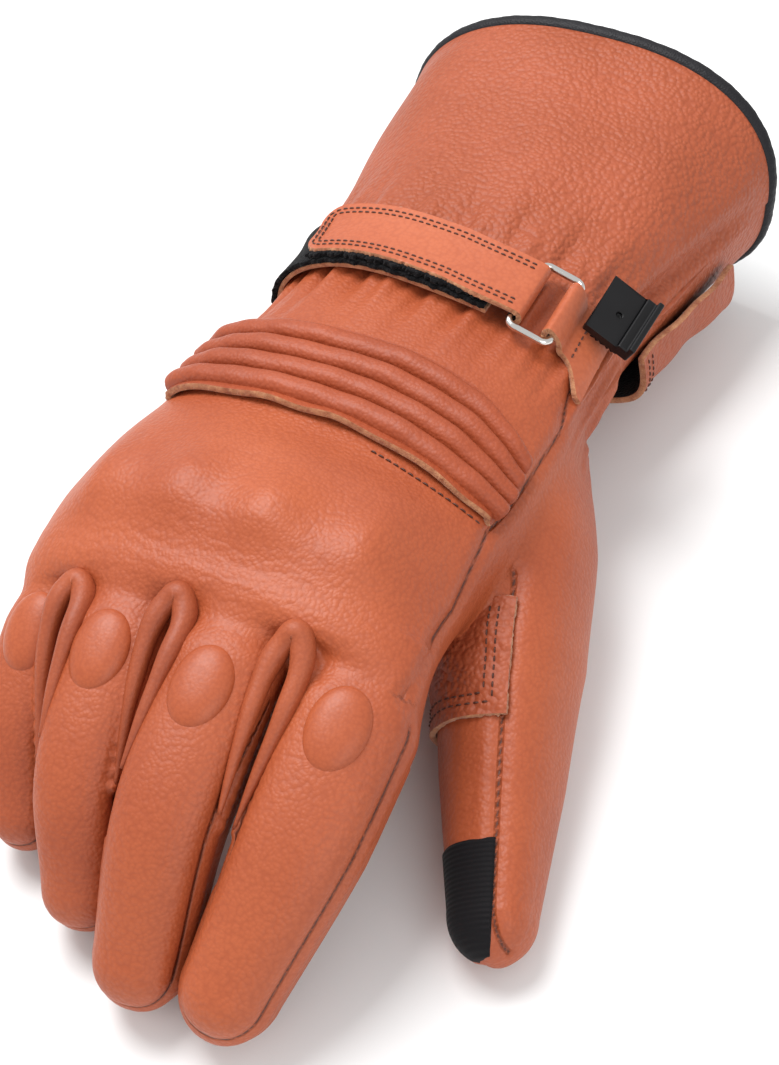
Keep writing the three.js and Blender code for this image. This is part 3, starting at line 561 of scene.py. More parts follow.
def make_piece(name, points, faces, materials, attributes=None, face_materials=None, normals=None, sharp=None):
    """A mesh object of rows of points in millimetres and rows of faces, smooth shaded."""
    mesh = bpy.data.meshes.new(name)
    mesh.from_pydata(in_place(points).tolist(), [], faces if isinstance(faces, list) else faces.tolist())
    for material in materials:
        mesh.materials.append(material)
    if face_materials is not None:
        mesh.polygons.foreach_set("material_index", np.asarray(face_materials, np.int32))
    for key, values in (attributes or {}).items():
        mesh.attributes.new(key, "FLOAT", "POINT").data.foreach_set("value", np.asarray(values, np.float32))
    mesh.polygons.foreach_set("use_smooth", np.ones(len(mesh.polygons), bool))
    if sharp is not None:
        mesh.set_sharp_from_angle(angle=math.radians(sharp))
    mesh.update()
    if normals is not None:
        mesh.normals_split_custom_set_from_vertices(normals.tolist())
    made = bpy.data.objects.new(name, mesh)
    bpy.context.collection.objects.link(made)
    return made


def cut_out(name, chosen, materials):
    """The chosen faces of the skin as a piece of their own, which keeps the whole skin's normals."""
    faces = quads[chosen]
    used = np.unique(faces)
    renumber = np.full(len(skin), -1)
    renumber[used] = np.arange(len(used))
    return make_piece(name, skin[used], renumber[faces], materials,
                      {"seam": seam[used], "run": run[used]}, normals=normal[used])


HAND_LEATHER = leather("grained_cowhide", 1.0, 0.15, 0.22, seams=True)
owned = owner[quads]
mixed = (owned != owned[:, :1]).any(1) & (skin[quads, 1].max(1) < -42)
owned[mixed] = owned[mixed, :1]
left_over = np.ones(len(quads), bool)
CUT_AT = {"index": 4.0, "middle": 4.0, "ring": 4.0, "little": 3.5, "thumb": 62.0}  # mm along the digit
joints = {joint["name"]: joint for joint in frame["joints"]}
finger_bends = {}
for number, (name, digit) in enumerate(DIGITS.items()):
    s = local[name][0][quads]
    chosen = ((owned == number) & (s > CUT_AT[name])).all(1)
    left_over &= ~chosen
    piece = cut_out(name + "_leather", chosen, [HAND_LEATHER])
    body = name if name == "thumb" else name + "_finger"
    bend_at = np.array(joints[name + "_curl"]["pos_m"])
    s, _, _ = digit.local((bend_at * METRE - HAND_CENTRE)[None])
    middle, _, _, ahead = digit.frame(s)
    spread = {"thumb": 11.0, "little": 5.5}.get(name, 7.0)
    start, end = (in_place(middle[0] + ahead[0] * side) for side in (-spread, spread))
    finger_bends[name] = (body, tuple(start), tuple(end))
    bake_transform(piece)
    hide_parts(name + "_tip", name + "_base")

middle_of = skin[quads].mean(1)
FOLDED_LEATHER = leather("folded_cowhide", 0.8, 0.06, 0.10, roughness=0.5, light="#a3502e", dark="#8c3f22")


def tube(path, radius, sides=16):
    """A tube of circles round a path, each square to it: centre + radius (cos a, sin a) in the plane of the path's
    own side and up directions. Returns its points as a grid."""
    ahead = np.gradient(path, axis=0)
    ahead /= np.linalg.norm(ahead, axis=1, keepdims=True)
    side = np.cross([0, 0, 1.0], ahead)
    side /= np.maximum(np.linalg.norm(side, axis=1, keepdims=True), 1e-9)
    up = np.cross(ahead, side)
    a = np.linspace(0, 2 * np.pi, sides + 1)[:-1]
    return (path[:, None] + radius[:, None, None] * (np.cos(a)[None, :, None] * side[:, None]
                                                     + np.sin(a)[None, :, None] * up[:, None]))


def tube_faces(rows, sides):
    """The faces of a tube's grid, and one face over each end."""
    i = np.arange(rows * sides).reshape(rows, sides)
    body = np.stack([i[:-1], np.roll(i[:-1], -1, 1), np.roll(i[1:], -1, 1), i[1:]], -1).reshape(-1, 4)
    return body[:, ::-1].tolist() + [i[0].tolist(), i[-1, ::-1].tolist()]


# ---- side walls of the fingers and rolls in the crotches ----
# Each finger has a sleeve of the same cowhide just inside its skin, so that it still has a whole side when the next
# one bends away from it. A padded roll of folded cowhide goes round each crotch.

WALL_ROWS, WALL_SIDES, WALL_INSET = 70, 48, 0.9
for name, digit in FINGERS.items():
    s, angle = np.meshgrid(np.linspace(CUT_AT[name] + 1, digit.length + digit.tip - 1, WALL_ROWS),
                           np.linspace(0, 360, WALL_SIDES + 1)[:-1], indexing="ij")
    points = digit.on(s, angle, -WALL_INSET)
    piece = make_piece(name + "_side_walls", points.reshape(-1, 3), tube_faces(WALL_ROWS, WALL_SIDES),
                       [FOLDED_LEATHER])
    body, start, end = finger_bends[name]
    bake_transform(piece)

for name, (path, sizes, _) in ROLLS.items():
    height = np.array([skin[np.hypot(*(skin[:, :2] - p[:2]).T) < 2.2, 2].max() for p in path])
    for _ in range(6):
        height[1:-1] = (height[:-2] + 2 * height[1:-1] + height[2:]) / 4
    fine = np.linspace(0, len(path) - 1, 90)
    lie = np.stack([np.interp(fine, np.arange(len(path)), column) for column in (*path[:, :2].T, height)], -1)
    share = np.abs(np.linspace(-1, 1, 90))
    radius = (0.5 + 2.5 * (1 - share**2)) * (1 + 0.03 * np.sin(fine * 1.1))
    lie[:, 2] -= 2.6 * share**3
    shaped = tube(lie, radius)
    shaped = shaped.reshape(-1, 3)
    piece = make_piece("fourchette_roll_" + name, shaped, tube_faces(90, 16), [FOLDED_LEATHER])
    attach(piece, "hand")
    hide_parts("fourchette_" + name)

on_back = (turn[quads] > side_seam[quads]).all(1) & (turn[quads] < LITTLE_SEAM).all(1)
chosen = left_over & on_back & (guard_shape(middle_of[:, 0], middle_of[:, 1]) > 0.5)
left_over &= ~chosen
piece = cut_out("knuckle_guard_cover", chosen, [HAND_LEATHER])
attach(piece, "hand")
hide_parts("knuckle_guard")
for name, chosen in (("back_leather", left_over & on_back), ("palm_leather", left_over & ~on_back)):
    piece = cut_out(name, chosen, [HAND_LEATHER])
    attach(piece, "hand")
    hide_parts("back_panel" if name == "back_leather" else "palm_panel")

# ---- knuckle pads: an oval of firm foam under the leather of each finger ----
# Moulded foam ovals beside the crotches. The leather is stretched over them and glued down round their edge, so
# they are smoother and glossier than the rest, with a clean crease round each.

PADS = {"index": (0.175, 93), "middle": (0.215, 91), "ring": (0.21, 91), "little": (0.19, 80)}
PAD_LENGTH, PAD_WIDTH, PAD_RISE = 19.5, 14.0, 2.5
STRETCHED_LEATHER = leather("stretched_cowhide", 0.8, 0.035, 0.05, roughness=0.42)


def grid_normals(points):
    """Each grid point's normal: the cross product of its steps along the rows and the columns."""
    across = np.cross(np.gradient(points, axis=0), np.gradient(points, axis=1))
    return across / np.maximum(np.linalg.norm(across, axis=-1, keepdims=True), 1e-9)


def grid_faces(rows, columns):
    """Four-sided faces between the points of a grid that is stored row by row."""
    i = (np.arange(rows - 1)[:, None] * columns + np.arange(columns - 1)).ravel()
    return np.stack([i, i + columns, i + columns + 1, i + 1], -1)


def panel(name, points, thick, materials, fray=0.0, shoulder=0.0, attributes=None, seed=1):
    """A sheet with a grid of points as its upper face. The lower face is the same grid moved in along the normals,
    and a wall goes round the border, swelling out by fray with a ragged edge. shoulder rounds the upper face down
    towards the border. The materials are for the upper face, the wall and the lower face."""
    rows, columns = points.shape[:2]
    normals = grid_normals(points)
    if shoulder:
        near = np.full((rows, columns), np.inf)
        for axis in (0, 1):
            steps = np.linalg.norm(np.diff(points, axis=axis), axis=-1)
            pad = [(1, 0), (0, 0)] if axis == 0 else [(0, 0), (1, 0)]
            run_in = np.pad(np.cumsum(steps, axis=axis), pad)
            total = run_in.take([-1], axis=axis)
            near = np.minimum(near, np.minimum(run_in, total - run_in))
        drop = 1 - np.sqrt(np.clip(1 - (1 - np.clip(near / shoulder, 0, 1)) ** 2, 0, 1))
        points = points - normals * (drop * min(shoulder, thick * 0.7))[..., None]
    count = rows * columns
    number = np.arange(count).reshape(rows, columns)
    loop = np.concatenate([number[0], number[1:, -1], number[-1, -2::-1], number[-2:0:-1, 0]])
    top, down = points.reshape(-1, 3), -normals.reshape(-1, 3) * thick
    tangent = np.roll(top[loop], -1, 0) - np.roll(top[loop], 1, 0)
    outward = np.cross(-down[loop], tangent)
    outward /= np.maximum(np.linalg.norm(outward, axis=1, keepdims=True), 1e-9)
    ragged = np.random.default_rng(seed).normal(0, 1, (2, len(loop), 1))
    walls = [top[loop] + down[loop] * share + outward * fray * (1.0 + 0.8 * ragged[k])
             for k, share in enumerate((0.3, 0.75))]
    vertices = np.concatenate([top, *walls, top + down])
    rings = [loop, count + np.arange(len(loop)), count + len(loop) + np.arange(len(loop)),
             count + 2 * len(loop) + loop]
    upper = grid_faces(rows, columns)
    lower = upper[:, ::-1] + count + 2 * len(loop)
    sides = [np.stack([a, np.roll(a, -1), np.roll(b, -1), b], -1) for a, b in zip(rings, rings[1:])]
    faces = np.concatenate([upper, lower, *sides])
    kind = np.concatenate([np.zeros(len(upper)), np.full(len(lower), 2), np.ones(3 * len(loop))])
    values = {}
    for key, grid in (attributes or {}).items():
        flat = np.asarray(grid, float).ravel()
        values[key] = np.concatenate([flat, flat[loop], flat[loop], flat])
    return make_piece(name, vertices, faces, materials, values, kind, sharp=50)


def disc(count):
    """A square grid drawn on to a round disc: x sqrt(1 - y^2 / 2) and y sqrt(1 - x^2 / 2)."""
    x, y = np.meshgrid(np.linspace(-1, 1, count), np.linspace(-1, 1, count), indexing="ij")
    return x * np.sqrt(1 - y * y / 2), y * np.sqrt(1 - x * x / 2)


for name, (at, facing) in PADS.items():
    digit = FINGERS[name]
    a, b = disc(41)
    s = digit.length * at + a * PAD_LENGTH / 2
    angle = facing + b * np.degrees(PAD_WIDTH / 2 / digit.at(digit.half, s)) * 1.05
    rise = np.clip(1 - (a * a + b * b) ** 1.25, 0, 1) ** 0.6
    piece = panel(name + "_knuckle_foam", digit.on(s, angle, PAD_RISE * rise - 0.55)[:, ::-1], 0.8,
                  [STRETCHED_LEATHER] * 3)
    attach(piece, "hand")
    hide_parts(name + "_knuckle_pad")

# ---- flex panel: four padded ribs over the back of the hand ----
# A separate piece of grained cowhide with four cords of foam sewn into channels, so that the hand can bend. Its
# lower edge is cut raw and stands off the hand's back, held by one row of stitches.

FLEX_Y, FLEX_PITCH, FLEX_DIP = 29.0, 6.6, -7.0
FLEX_LOW_ENDS, FLEX_HIGH_ENDS = (31.0, 151.0), (34.0, 160.0)
RIB_LEATHER = leather("ribbed_cowhide", 0.95, 0.14, 0.10, roughness=0.5, light="#a14b2a", dark="#8f3f21")


def on_flex(offset, share):
    """Distance up the panel and a share of its length give y and angle on the hand; the thumb end dips."""
    up = np.clip(offset / (4 * FLEX_PITCH), 0, 1)
    low = FLEX_LOW_ENDS[0] + (FLEX_HIGH_ENDS[0] - FLEX_LOW_ENDS[0]) * up
    high = FLEX_LOW_ENDS[1] + (FLEX_HIGH_ENDS[1] - FLEX_LOW_ENDS[1]) * up
    angle = low + (high - low) * share
    squeeze = 1 - 0.22 * smoothstep(angle, 62, 30)
    return FLEX_Y + offset * squeeze + FLEX_DIP * smoothstep(np.cos(np.radians(angle)), 0, 0.95), angle


def suede_edge(name, light, dark):
    """The cut edge and flesh side of chrome-tanned hide: pale loose fibres, matt, and uneven in colour."""
    material, tree, shader = new_material(name)
    place = add_node(tree, "ShaderNodeTexCoord").outputs["Object"]
    fibres = add_node(tree, "ShaderNodeTexNoise", {"Scale": METRE / 0.6, "Detail": 6.0, "Roughness": 0.7},
                      {"Vector": place})
    patches = add_node(tree, "ShaderNodeTexNoise", {"Scale": METRE / 3, "Detail": 2.0}, {"Vector": place})
    mixed = add_node(tree, "ShaderNodeMath", {"operation": "MULTIPLY_ADD", 1: 0.5}, {0: fibres.outputs["Fac"], 2: (
        add_node(tree, "ShaderNodeMath", {"operation": "MULTIPLY", 1: 0.5}, {0: patches.outputs["Fac"]}).outputs[0])})
    spread = add_node(tree, "ShaderNodeMapRange", {"From Min": 0.36, "From Max": 0.62}, {"Value": mixed.outputs[0]})
    colour = add_node(tree, "ShaderNodeMix", {"data_type": "RGBA", 6: linear(dark), 7: linear(light)},
                      {0: spread.outputs["Result"]})
    bump = add_node(tree, "ShaderNodeBump", {"Strength": 1.0, "Distance": 0.25 / METRE},
                    {"Height": fibres.outputs["Fac"]})
    tree.links.new(colour.outputs[2], shader.inputs["Base Color"])
    tree.links.new(bump.outputs["Normal"], shader.inputs["Normal"])
    shader.inputs["Roughness"].default_value = 0.95
    shader.inputs["Sheen Weight"].default_value = 0.2
    return material


RAW_EDGE = suede_edge("raw_hide_edge", "#c08a62", "#8f4c2e")
RIB_COUNT = 170
offset, share = np.meshgrid(np.linspace(-1.6, 4 * FLEX_PITCH + 1.2, 34), np.linspace(0, 1, RIB_COUNT),
                            indexing="ij")
y, angle = on_flex(offset, share)
ripple = 0.35 * np.sin(share * 31 + 0.8 * np.sin(share * 11)) * smoothstep(-offset, -2, 1.5)
lift = 2.2 + 0.9 * smoothstep(-offset, -1.5, 1.6) * np.sin(np.pi * share) ** 0.5 + ripple
lift = 0.9 + (lift - 0.9) * smoothstep(np.minimum(share, 1 - share), 0, 0.035)
piece = panel("flex_backing", on_hand(y + 0.4 * ripple, angle, lift), 1.7, [RIB_LEATHER, RAW_EDGE, RAW_EDGE],
              fray=0.16)
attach(piece, "hand")
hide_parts("flex_base")


for rib in range(4):
    low = 0.15 + rib * FLEX_PITCH
    u, share = np.meshgrid(np.linspace(0, 1, 19), np.linspace(0.004, 0.996, RIB_COUNT), indexing="ij")
    y, angle = on_flex(low + u * (FLEX_PITCH - 0.1), share)
    round_top = np.sqrt(np.clip(1 - np.abs(2 * u - 1) ** 2.3, 0, 1))
    ends = np.sqrt(np.clip(1 - (1 - np.clip(np.minimum(share, 1 - share) / 0.022, 0, 1)) ** 2, 0, 1))
    uneven = 1 + 0.07 * np.sin(share * 23 + rib * 1.9) + 0.04 * np.sin(share * 61 + rib)
    piece = panel("flex_rib_leather_%d" % (rib + 1),
                  on_hand(y, angle, 1.7 + 3.1 * round_top * ends * uneven), 0.9, [RIB_LEATHER] * 3)
    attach(piece, "hand")
    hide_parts("flex_rib_%d" % (rib + 1))

THREAD_PITCH, THREAD_RADIUS = 2.1, 0.24  # mm


def thread(name, light, dark):
    """Bonded nylon sewing thread: twisted, slightly glossy, with painted shade between its plies."""
    material, tree, shader = new_material(name)
    place = add_node(tree, "ShaderNodeTexCoord").outputs["Object"]
    twist = add_node(tree, "ShaderNodeTexNoise", {"Scale": METRE / 0.5, "Detail": 2.0}, {"Vector": place})
    # Painted shade: the thread is darker where its twist bump lies low, between the plies.
    colour = add_node(tree, "ShaderNodeMix", {"data_type": "RGBA", 6: linear(dark), 7: linear(light)},
                      {0: twist.outputs["Fac"]})
    bump = add_node(tree, "ShaderNodeBump", {"Strength": 0.6, "Distance": 0.06 / METRE},
                    {"Height": twist.outputs["Fac"]})
    tree.links.new(colour.outputs[2], shader.inputs["Base Color"])
    tree.links.new(bump.outputs["Normal"], shader.inputs["Normal"])
    shader.inputs["Roughness"].default_value = 0.5
    return material


BROWN_THREAD = thread("bonded_brown_thread", "#5a2a1a", "#35170d")


def stitched(name, rows, body):
    """Rows of lock stitches. Each row is a path and its normals; a stitch is a thread that rises out of the leather,
    lies along the path for most of the pitch and dives back: radius and height follow 1 - a^4 from end to end."""
    vertices, faces, total = [], [], 0
    for path, normals in rows:
        run_along = np.concatenate([[0], np.cumsum(np.linalg.norm(np.diff(path, axis=0), axis=1))])
        count = max(int(run_along[-1] / THREAD_PITCH), 1)
        middle = (np.arange(count) + 0.5) * run_along[-1] / count

        def along(table, s):
            return np.stack([np.interp(s, run_along, table[:, k]) for k in range(3)], -1)

        ahead = along(path, middle + 0.4) - along(path, middle - 0.4)
        ahead /= np.maximum(np.linalg.norm(ahead, axis=1, keepdims=True), 1e-9)
        up = along(normals, middle)
        side = np.cross(up, ahead)
        a, b = np.meshgrid([-1, -0.6, 0, 0.6, 1], np.arange(6) * np.pi / 3, indexing="ij")
        size = THREAD_RADIUS * (0.55 + 0.45 * (1 - a**4))
        high = THREAD_RADIUS * (0.75 - 1.7 * a**4)
        where = [(a * THREAD_PITCH * 0.39)[None, ..., None] * ahead[:, None, None],
                 (size * np.cos(b))[None, ..., None] * side[:, None, None],
                 (high + size * np.sin(b))[None, ..., None] * up[:, None, None]]
        vertices.append((along(path, middle)[:, None, None] + sum(where)).reshape(-1, 3))
        i, j = np.meshgrid(np.arange(4), np.arange(6), indexing="ij")
        ring = np.stack([i * 6 + j, i * 6 + (j + 1) % 6,
                         (i + 1) * 6 + (j + 1) % 6, (i + 1) * 6 + j], -1).reshape(-1, 4)
        faces.append((ring[None, :, ::-1] + (total + 30 * np.arange(count))[:, None, None]).reshape(-1, 4))
        total += 30 * count
    made = make_piece(name, np.concatenate(vertices), np.concatenate(faces), [BROWN_THREAD])
    if isinstance(body, dict):
        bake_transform(made)
    else:
        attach(made, body)


share = np.linspace(0.02, 0.36, 90)
y, angle = on_flex(np.full_like(share, -3.4), share)
y -= 1.2 * np.sin(np.pi * share)
path = on_hand(y, angle, 0.15)
outward = path - on_hand(y, angle, -4.0)
stitched("flex_stitching", [(path, outward / np.linalg.norm(outward, axis=1, keepdims=True))], "hand")

# ---- cuff: flared gauntlet of coarse-grained cowhide ----
# One piece over the back, two under the wrist with a black gusset between them, all bound at the rim with black
# leathercloth over a cord, and lined with fleece. The back piece folds in along its thumb-side edge.

CUFF_LEATHER = leather("coarse_cowhide", 1.45, 0.52, 0.16, roughness=0.5, light="#a45132", dark="#974828")
RIM = 181.0
SPLIT = (262.0, 278.0)


def cuff_lift(y, angle):
    """The cuff's slow waves, the creases that run out of the strap, and the fold along the thumb side."""
    free = smoothstep(y, 98, 110) * (1 - smoothstep(y, 168, 181))
    wave = 0.7 * np.sin(y * 0.085 + angle * 0.045) + 0.5 * np.sin(angle * 0.16 - y * 0.05 + 1.0)
    near = smoothstep(y, 134, 102)
    crease = 0.8 * np.sin(angle * 0.33 + y * 0.10) * near + 0.45 * np.sin(angle * 0.71 - y * 0.06 + 2.0) * near**2
    fold_at = 17 - 0.10 * (y - 100)
    fold = -3.2 * np.exp(-(((angle - fold_at) / 6.5) ** 2)) * smoothstep(y, 98, 112) * (1 - smoothstep(y, 152, 178))
    under = np.where(np.asarray(angle) % 360 > 200, 0.3, 1.0)
    return free * (wave + crease) * under + fold


def cuff_piece(name, node, angles, low=CUFF_Y - 1.5, high=RIM + 0.6, lift=0.0, thick=2.0, material=CUFF_LEATHER):
    """A cuff panel between two angles."""
    columns = int(abs(angles[1] - angles[0]) * 0.9) + 6
    y, angle = np.meshgrid(np.linspace(low, high, 90), np.linspace(*angles, columns),
                           indexing="ij")
    points = on_hand(y, angle, lift + cuff_lift(y, angle))
    piece = panel(name, points, thick, [material, RAW_EDGE, RAW_EDGE], shoulder=0.8)
    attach(piece, "hand")
    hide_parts(node)
    return points


def leathercloth(name, light, dark, grain_mm):
    """Vinyl-coated knit: a fine embossed grain, an even dark tone and a soft gloss."""
    material, tree, shader = new_material(name)
    place = add_node(tree, "ShaderNodeTexCoord").outputs["Object"]
    grain = add_node(tree, "ShaderNodeTexVoronoi", {"Scale": METRE / grain_mm}, {"Vector": place})
    tone = add_node(tree, "ShaderNodeTexNoise", {"Scale": METRE / 9, "Detail": 3.0}, {"Vector": place})
    colour = add_node(tree, "ShaderNodeMix", {"data_type": "RGBA", 6: linear(dark), 7: linear(light)},
                      {0: tone.outputs["Fac"]})
    gloss = add_node(tree, "ShaderNodeMapRange", {"To Min": 0.42, "To Max": 0.62},
                     {"Value": grain.outputs["Distance"]})
    bump = add_node(tree, "ShaderNodeBump", {"Strength": 1.0, "Distance": 0.12 / METRE, "invert": True},
                    {"Height": grain.outputs["Distance"]})
    tree.links.new(colour.outputs[2], shader.inputs["Base Color"])
    tree.links.new(gloss.outputs["Result"], shader.inputs["Roughness"])
    tree.links.new(bump.outputs["Normal"], shader.inputs["Normal"])
    shader.inputs["Specular IOR Level"].default_value = 0.22
    return material


def pile(name, light, dark, tuft_mm, depth_mm):
    """Brushed or looped pile: soft clumps with shadow between them, matt, with a sheen at grazing angles."""
    material, tree, shader = new_material(name)
    place = add_node(tree, "ShaderNodeTexCoord").outputs["Object"]
    clump = add_node(tree, "ShaderNodeTexVoronoi", {"Scale": METRE / tuft_mm}, {"Vector": place})
    fuzz = add_node(tree, "ShaderNodeTexNoise", {"Scale": METRE / (tuft_mm * 0.4), "Detail": 5.0, "Roughness": 0.7},
                    {"Vector": place})
    colour = add_node(tree, "ShaderNodeMix", {"data_type": "RGBA", 6: linear(light), 7: linear(dark)},
                      {0: clump.outputs["Distance"]})
    bump = add_node(tree, "ShaderNodeBump", {"Strength": 1.0, "Distance": depth_mm / METRE, "invert": True},
                    {"Height": clump.outputs["Distance"]})
    bump = add_node(tree, "ShaderNodeBump", {"Strength": 1.0, "Distance": depth_mm * 0.5 / METRE},
                    {"Height": fuzz.outputs["Fac"], "Normal": bump.outputs["Normal"]})
    tree.links.new(colour.outputs[2], shader.inputs["Base Color"])
    tree.links.new(bump.outputs["Normal"], shader.inputs["Normal"])
    shader.inputs["Roughness"].default_value = 0.95
    shader.inputs["Specular IOR Level"].default_value = 0.12
    shader.inputs["Sheen Weight"].default_value = 0.06
    shader.inputs["Sheen Roughness"].default_value = 0.5
    return material


BINDING = leathercloth("black_leathercloth", "#1f1e22", "#141316", 0.6)
FLEECE = pile("brushed_fleece", "#222126", "#101013", 1.6, 0.5)
cuff_piece("cuff_back_leather", "cuff_back", (2.0, 178.0))
cuff_piece("cuff_palm_leather_little_side", "cuff_palm_little_side", (177.0, SPLIT[0]), lift=-0.5)
cuff_piece("cuff_palm_leather_thumb_side", "cuff_palm_thumb_side", (SPLIT[1], 363.0), lift=-0.5)
cuff_piece("cuff_gusset_fabric", "cuff_gusset", (SPLIT[0] - 1, SPLIT[1] + 1), lift=-1.9, thick=0.9, material=BINDING)

# The binding: a cord in leathercloth, pulled into small puckers by its stitches.
u, v = np.meshgrid(np.linspace(0, 360, 25)[:-1], np.linspace(0, 360, 481)[:-1], indexing="ij")
pucker = 1 + 0.012 * np.sin(np.radians(v) * 96) + 0.02 * np.sin(np.radians(v) * 37 + 1.0)
c, s = superellipse(u)
points = on_hand(RIM + 1.9 + 2.4 * s * pucker, v, -1.7 + 2.5 * c * pucker)
number = np.arange(u.size).reshape(u.shape)
faces = np.stack([number, np.roll(number, -1, 0),
                  np.roll(np.roll(number, -1, 0), -1, 1), np.roll(number, -1, 1)], -1)
piece = make_piece("rim_binding_cord", points.reshape(-1, 3), faces.reshape(-1, 4)[:, ::-1], [BINDING])
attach(piece, "hand")
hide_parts("rim_binding")

# The lining: a bag of fleece from the rim to the roots of the fingers.
y, angle = np.meshgrid(np.linspace(RIM + 1, -14, 110), np.linspace(0, 360, 145)[:-1], indexing="ij")
close = np.sqrt(np.clip((y + 15) / 14, 0.0004, 1))
cx, cz, half, back, palm, roll = section(y)
c, s = superellipse(angle)
tuft = 0.25 * np.sin(angle * 0.9 + y * 0.5) * np.sin(y * 0.7 - angle * 0.3)
rim = on_hand(y, angle, -6.6 + 2.6 * smoothstep(y, RIM - 14, RIM) + tuft)
points = rim + (np.stack([cx, y, cz], -1) - rim) * (1 - close)[..., None] * np.array([1, 0, 1])
number = np.arange(y.size).reshape(y.shape)
faces = np.stack([number[:-1], number[1:], np.roll(number[1:], -1, 1),
                  np.roll(number[:-1], -1, 1)], -1).reshape(-1, 4)
piece = make_piece("fleece_lining", points.reshape(-1, 3), faces, [FLEECE])
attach(piece, "hand")
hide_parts("lining")

# ---- wrist strap: base run, hook-and-loop tapes, free end, ring and ring tab ----
# A cowhide strap sewn down on the little finger's side. It runs through a nickel-plated ring, turns back on
# itself and is held by hook-and-loop tape. All its edges are cut raw, with two rows of stitches.

STRAP_SLANT = -4.5
STRAP_START, STRAP_FOLD, STRAP_END = 196.0, 64.0, 137.0
TAIL_UP = 1.7  # mm that the free end lies nearer to the cuff than the run below it
STRAP_LEATHER = leather("strap_cowhide", 1.2, 0.09, 0.07, roughness=0.45, light="#b5603e", dark="#aa5535")
HOOK_TAPE = pile("hook_and_loop_tape", "#121114", "#050506", 0.8, 0.35)


def strap_shift(angle):
    """The strap slants towards the fingers on the thumb side."""
    return STRAP_SLANT * (1 - smoothstep(angle, 60, 130))


def strap_piece(name, node, angles, lift, thick, materials, body, low=-10.0, high=10.0, fray=0.12, wavy=0.0):
    """A run of strap or tape round the wrist between two angles, with its lift above the skin."""
    across, angle = np.meshgrid(np.linspace(0, 1, 26), np.linspace(*angles, 110), indexing="ij")
    edge = wavy * (np.sin(angle * 0.9) + 0.6 * np.sin(angle * 2.3 + 1) + 0.5 * np.sin(angle * 4.1)) * (1 - across)
    y = WRIST_Y + low + edge + (high - low - edge) * across + strap_shift(angle)
    points = on_hand(y, angle, lift)
    piece = panel(name, points, thick, materials, fray=fray)
    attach(piece, body)
    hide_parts(node)
    return points


strap_piece("strap_base_leather", "strap_base", (STRAP_START, STRAP_FOLD + 7), 1.75, 1.2,
            [STRAP_LEATHER, RAW_EDGE, RAW_EDGE], "hand")
strap_piece("strap_loop_pile", "strap_loop_tape",
            (STRAP_START - 3, STRAP_FOLD + 8), 3.3, 1.2, [HOOK_TAPE] * 3, "hand",
            low=-10.4, high=9.6, fray=0.25, wavy=0.25)
strap_piece("strap_hook_pile", "strap_hook_tape", (STRAP_END - 2, STRAP_FOLD + 12), 4.75, 1.2, [HOOK_TAPE] * 3,
            "strap_tail", low=-9.6, high=9.6, fray=0.3, wavy=0.45)

ring_y = WRIST_Y + STRAP_SLANT
RING_LIFT, RING_WIDTH, RING_LENGTH, RING_WIRE, RING_CORNER = 4.4, 11.5, 24.5, 0.95, 2.2
ring_middle = on_hand(ring_y, 57, RING_LIFT)
ring_side = on_hand(ring_y, 49, RING_LIFT) - on_hand(ring_y, 65, RING_LIFT)
ring_side /= np.linalg.norm(ring_side)
ring_up = np.array([-ring_side[2], 0, ring_side[0]])
ring_long = np.array([0.0, 1.0, 0.0])

# The free end's middle line, from under the ring's bar, round it and back over the wrist to its rounded tip.
turn_angle = np.radians(np.linspace(-96, 84, 40))
bar = ring_middle - ring_side * RING_WIDTH / 2
round_bar = bar + 2.95 * (np.cos(turn_angle)[:, None] * ring_side + np.sin(turn_angle)[:, None] * ring_up)
lie = np.linspace(STRAP_FOLD + 9, STRAP_END, 120)
width = np.linspace(-10, 10, 33)
end = on_hand(WRIST_Y, STRAP_END, 6.6)
rest_of_way = np.linalg.norm(on_hand(np.full_like(lie, WRIST_Y), lie, 6.6) - end, axis=1)
corner = 6.5
half = 10 - corner + np.sqrt(np.clip(corner**2 - np.clip(corner - rest_of_way, 0, None) ** 2, 0, None))
half[-1] = 10 - corner + 0.6
up_by = TAIL_UP * smoothstep(lie, STRAP_FOLD + 8, STRAP_FOLD + 26)
tail_y = WRIST_Y + strap_shift(lie)[:, None] + up_by[:, None] + width / 10 * half[:, None]
sag = 0.35 * np.sin(lie * 0.19)[:, None] - 0.5 * (1 - (width / 10) ** 2)
tail_lift = 6.7 + 0.25 * sag + 0.5 * smoothstep(lie, 84, 72)[:, None]
tail = on_hand(tail_y, lie[:, None], tail_lift)
fold = round_bar[:, None] + width[None, :, None] * ring_long * 0.965
strap = np.concatenate([fold, tail])
for _ in range(14):
    strap[34:52] = (strap[33:51] + 2 * strap[34:52] + strap[35:53]) / 4
piece = panel("strap_free_end", strap[:, ::-1], 1.5, [STRAP_LEATHER, RAW_EDGE, HOOK_TAPE], fray=0.22)
start, finish = in_place(on_hand(WRIST_Y, STRAP_FOLD + 6, 6)), in_place(on_hand(WRIST_Y, STRAP_FOLD + 15, 6))
peel = {"a": "ring", "b": "strap_tail", "start": tuple(start), "end": tuple(finish)}
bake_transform(piece)
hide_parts("strap_tail", "strap_fold")

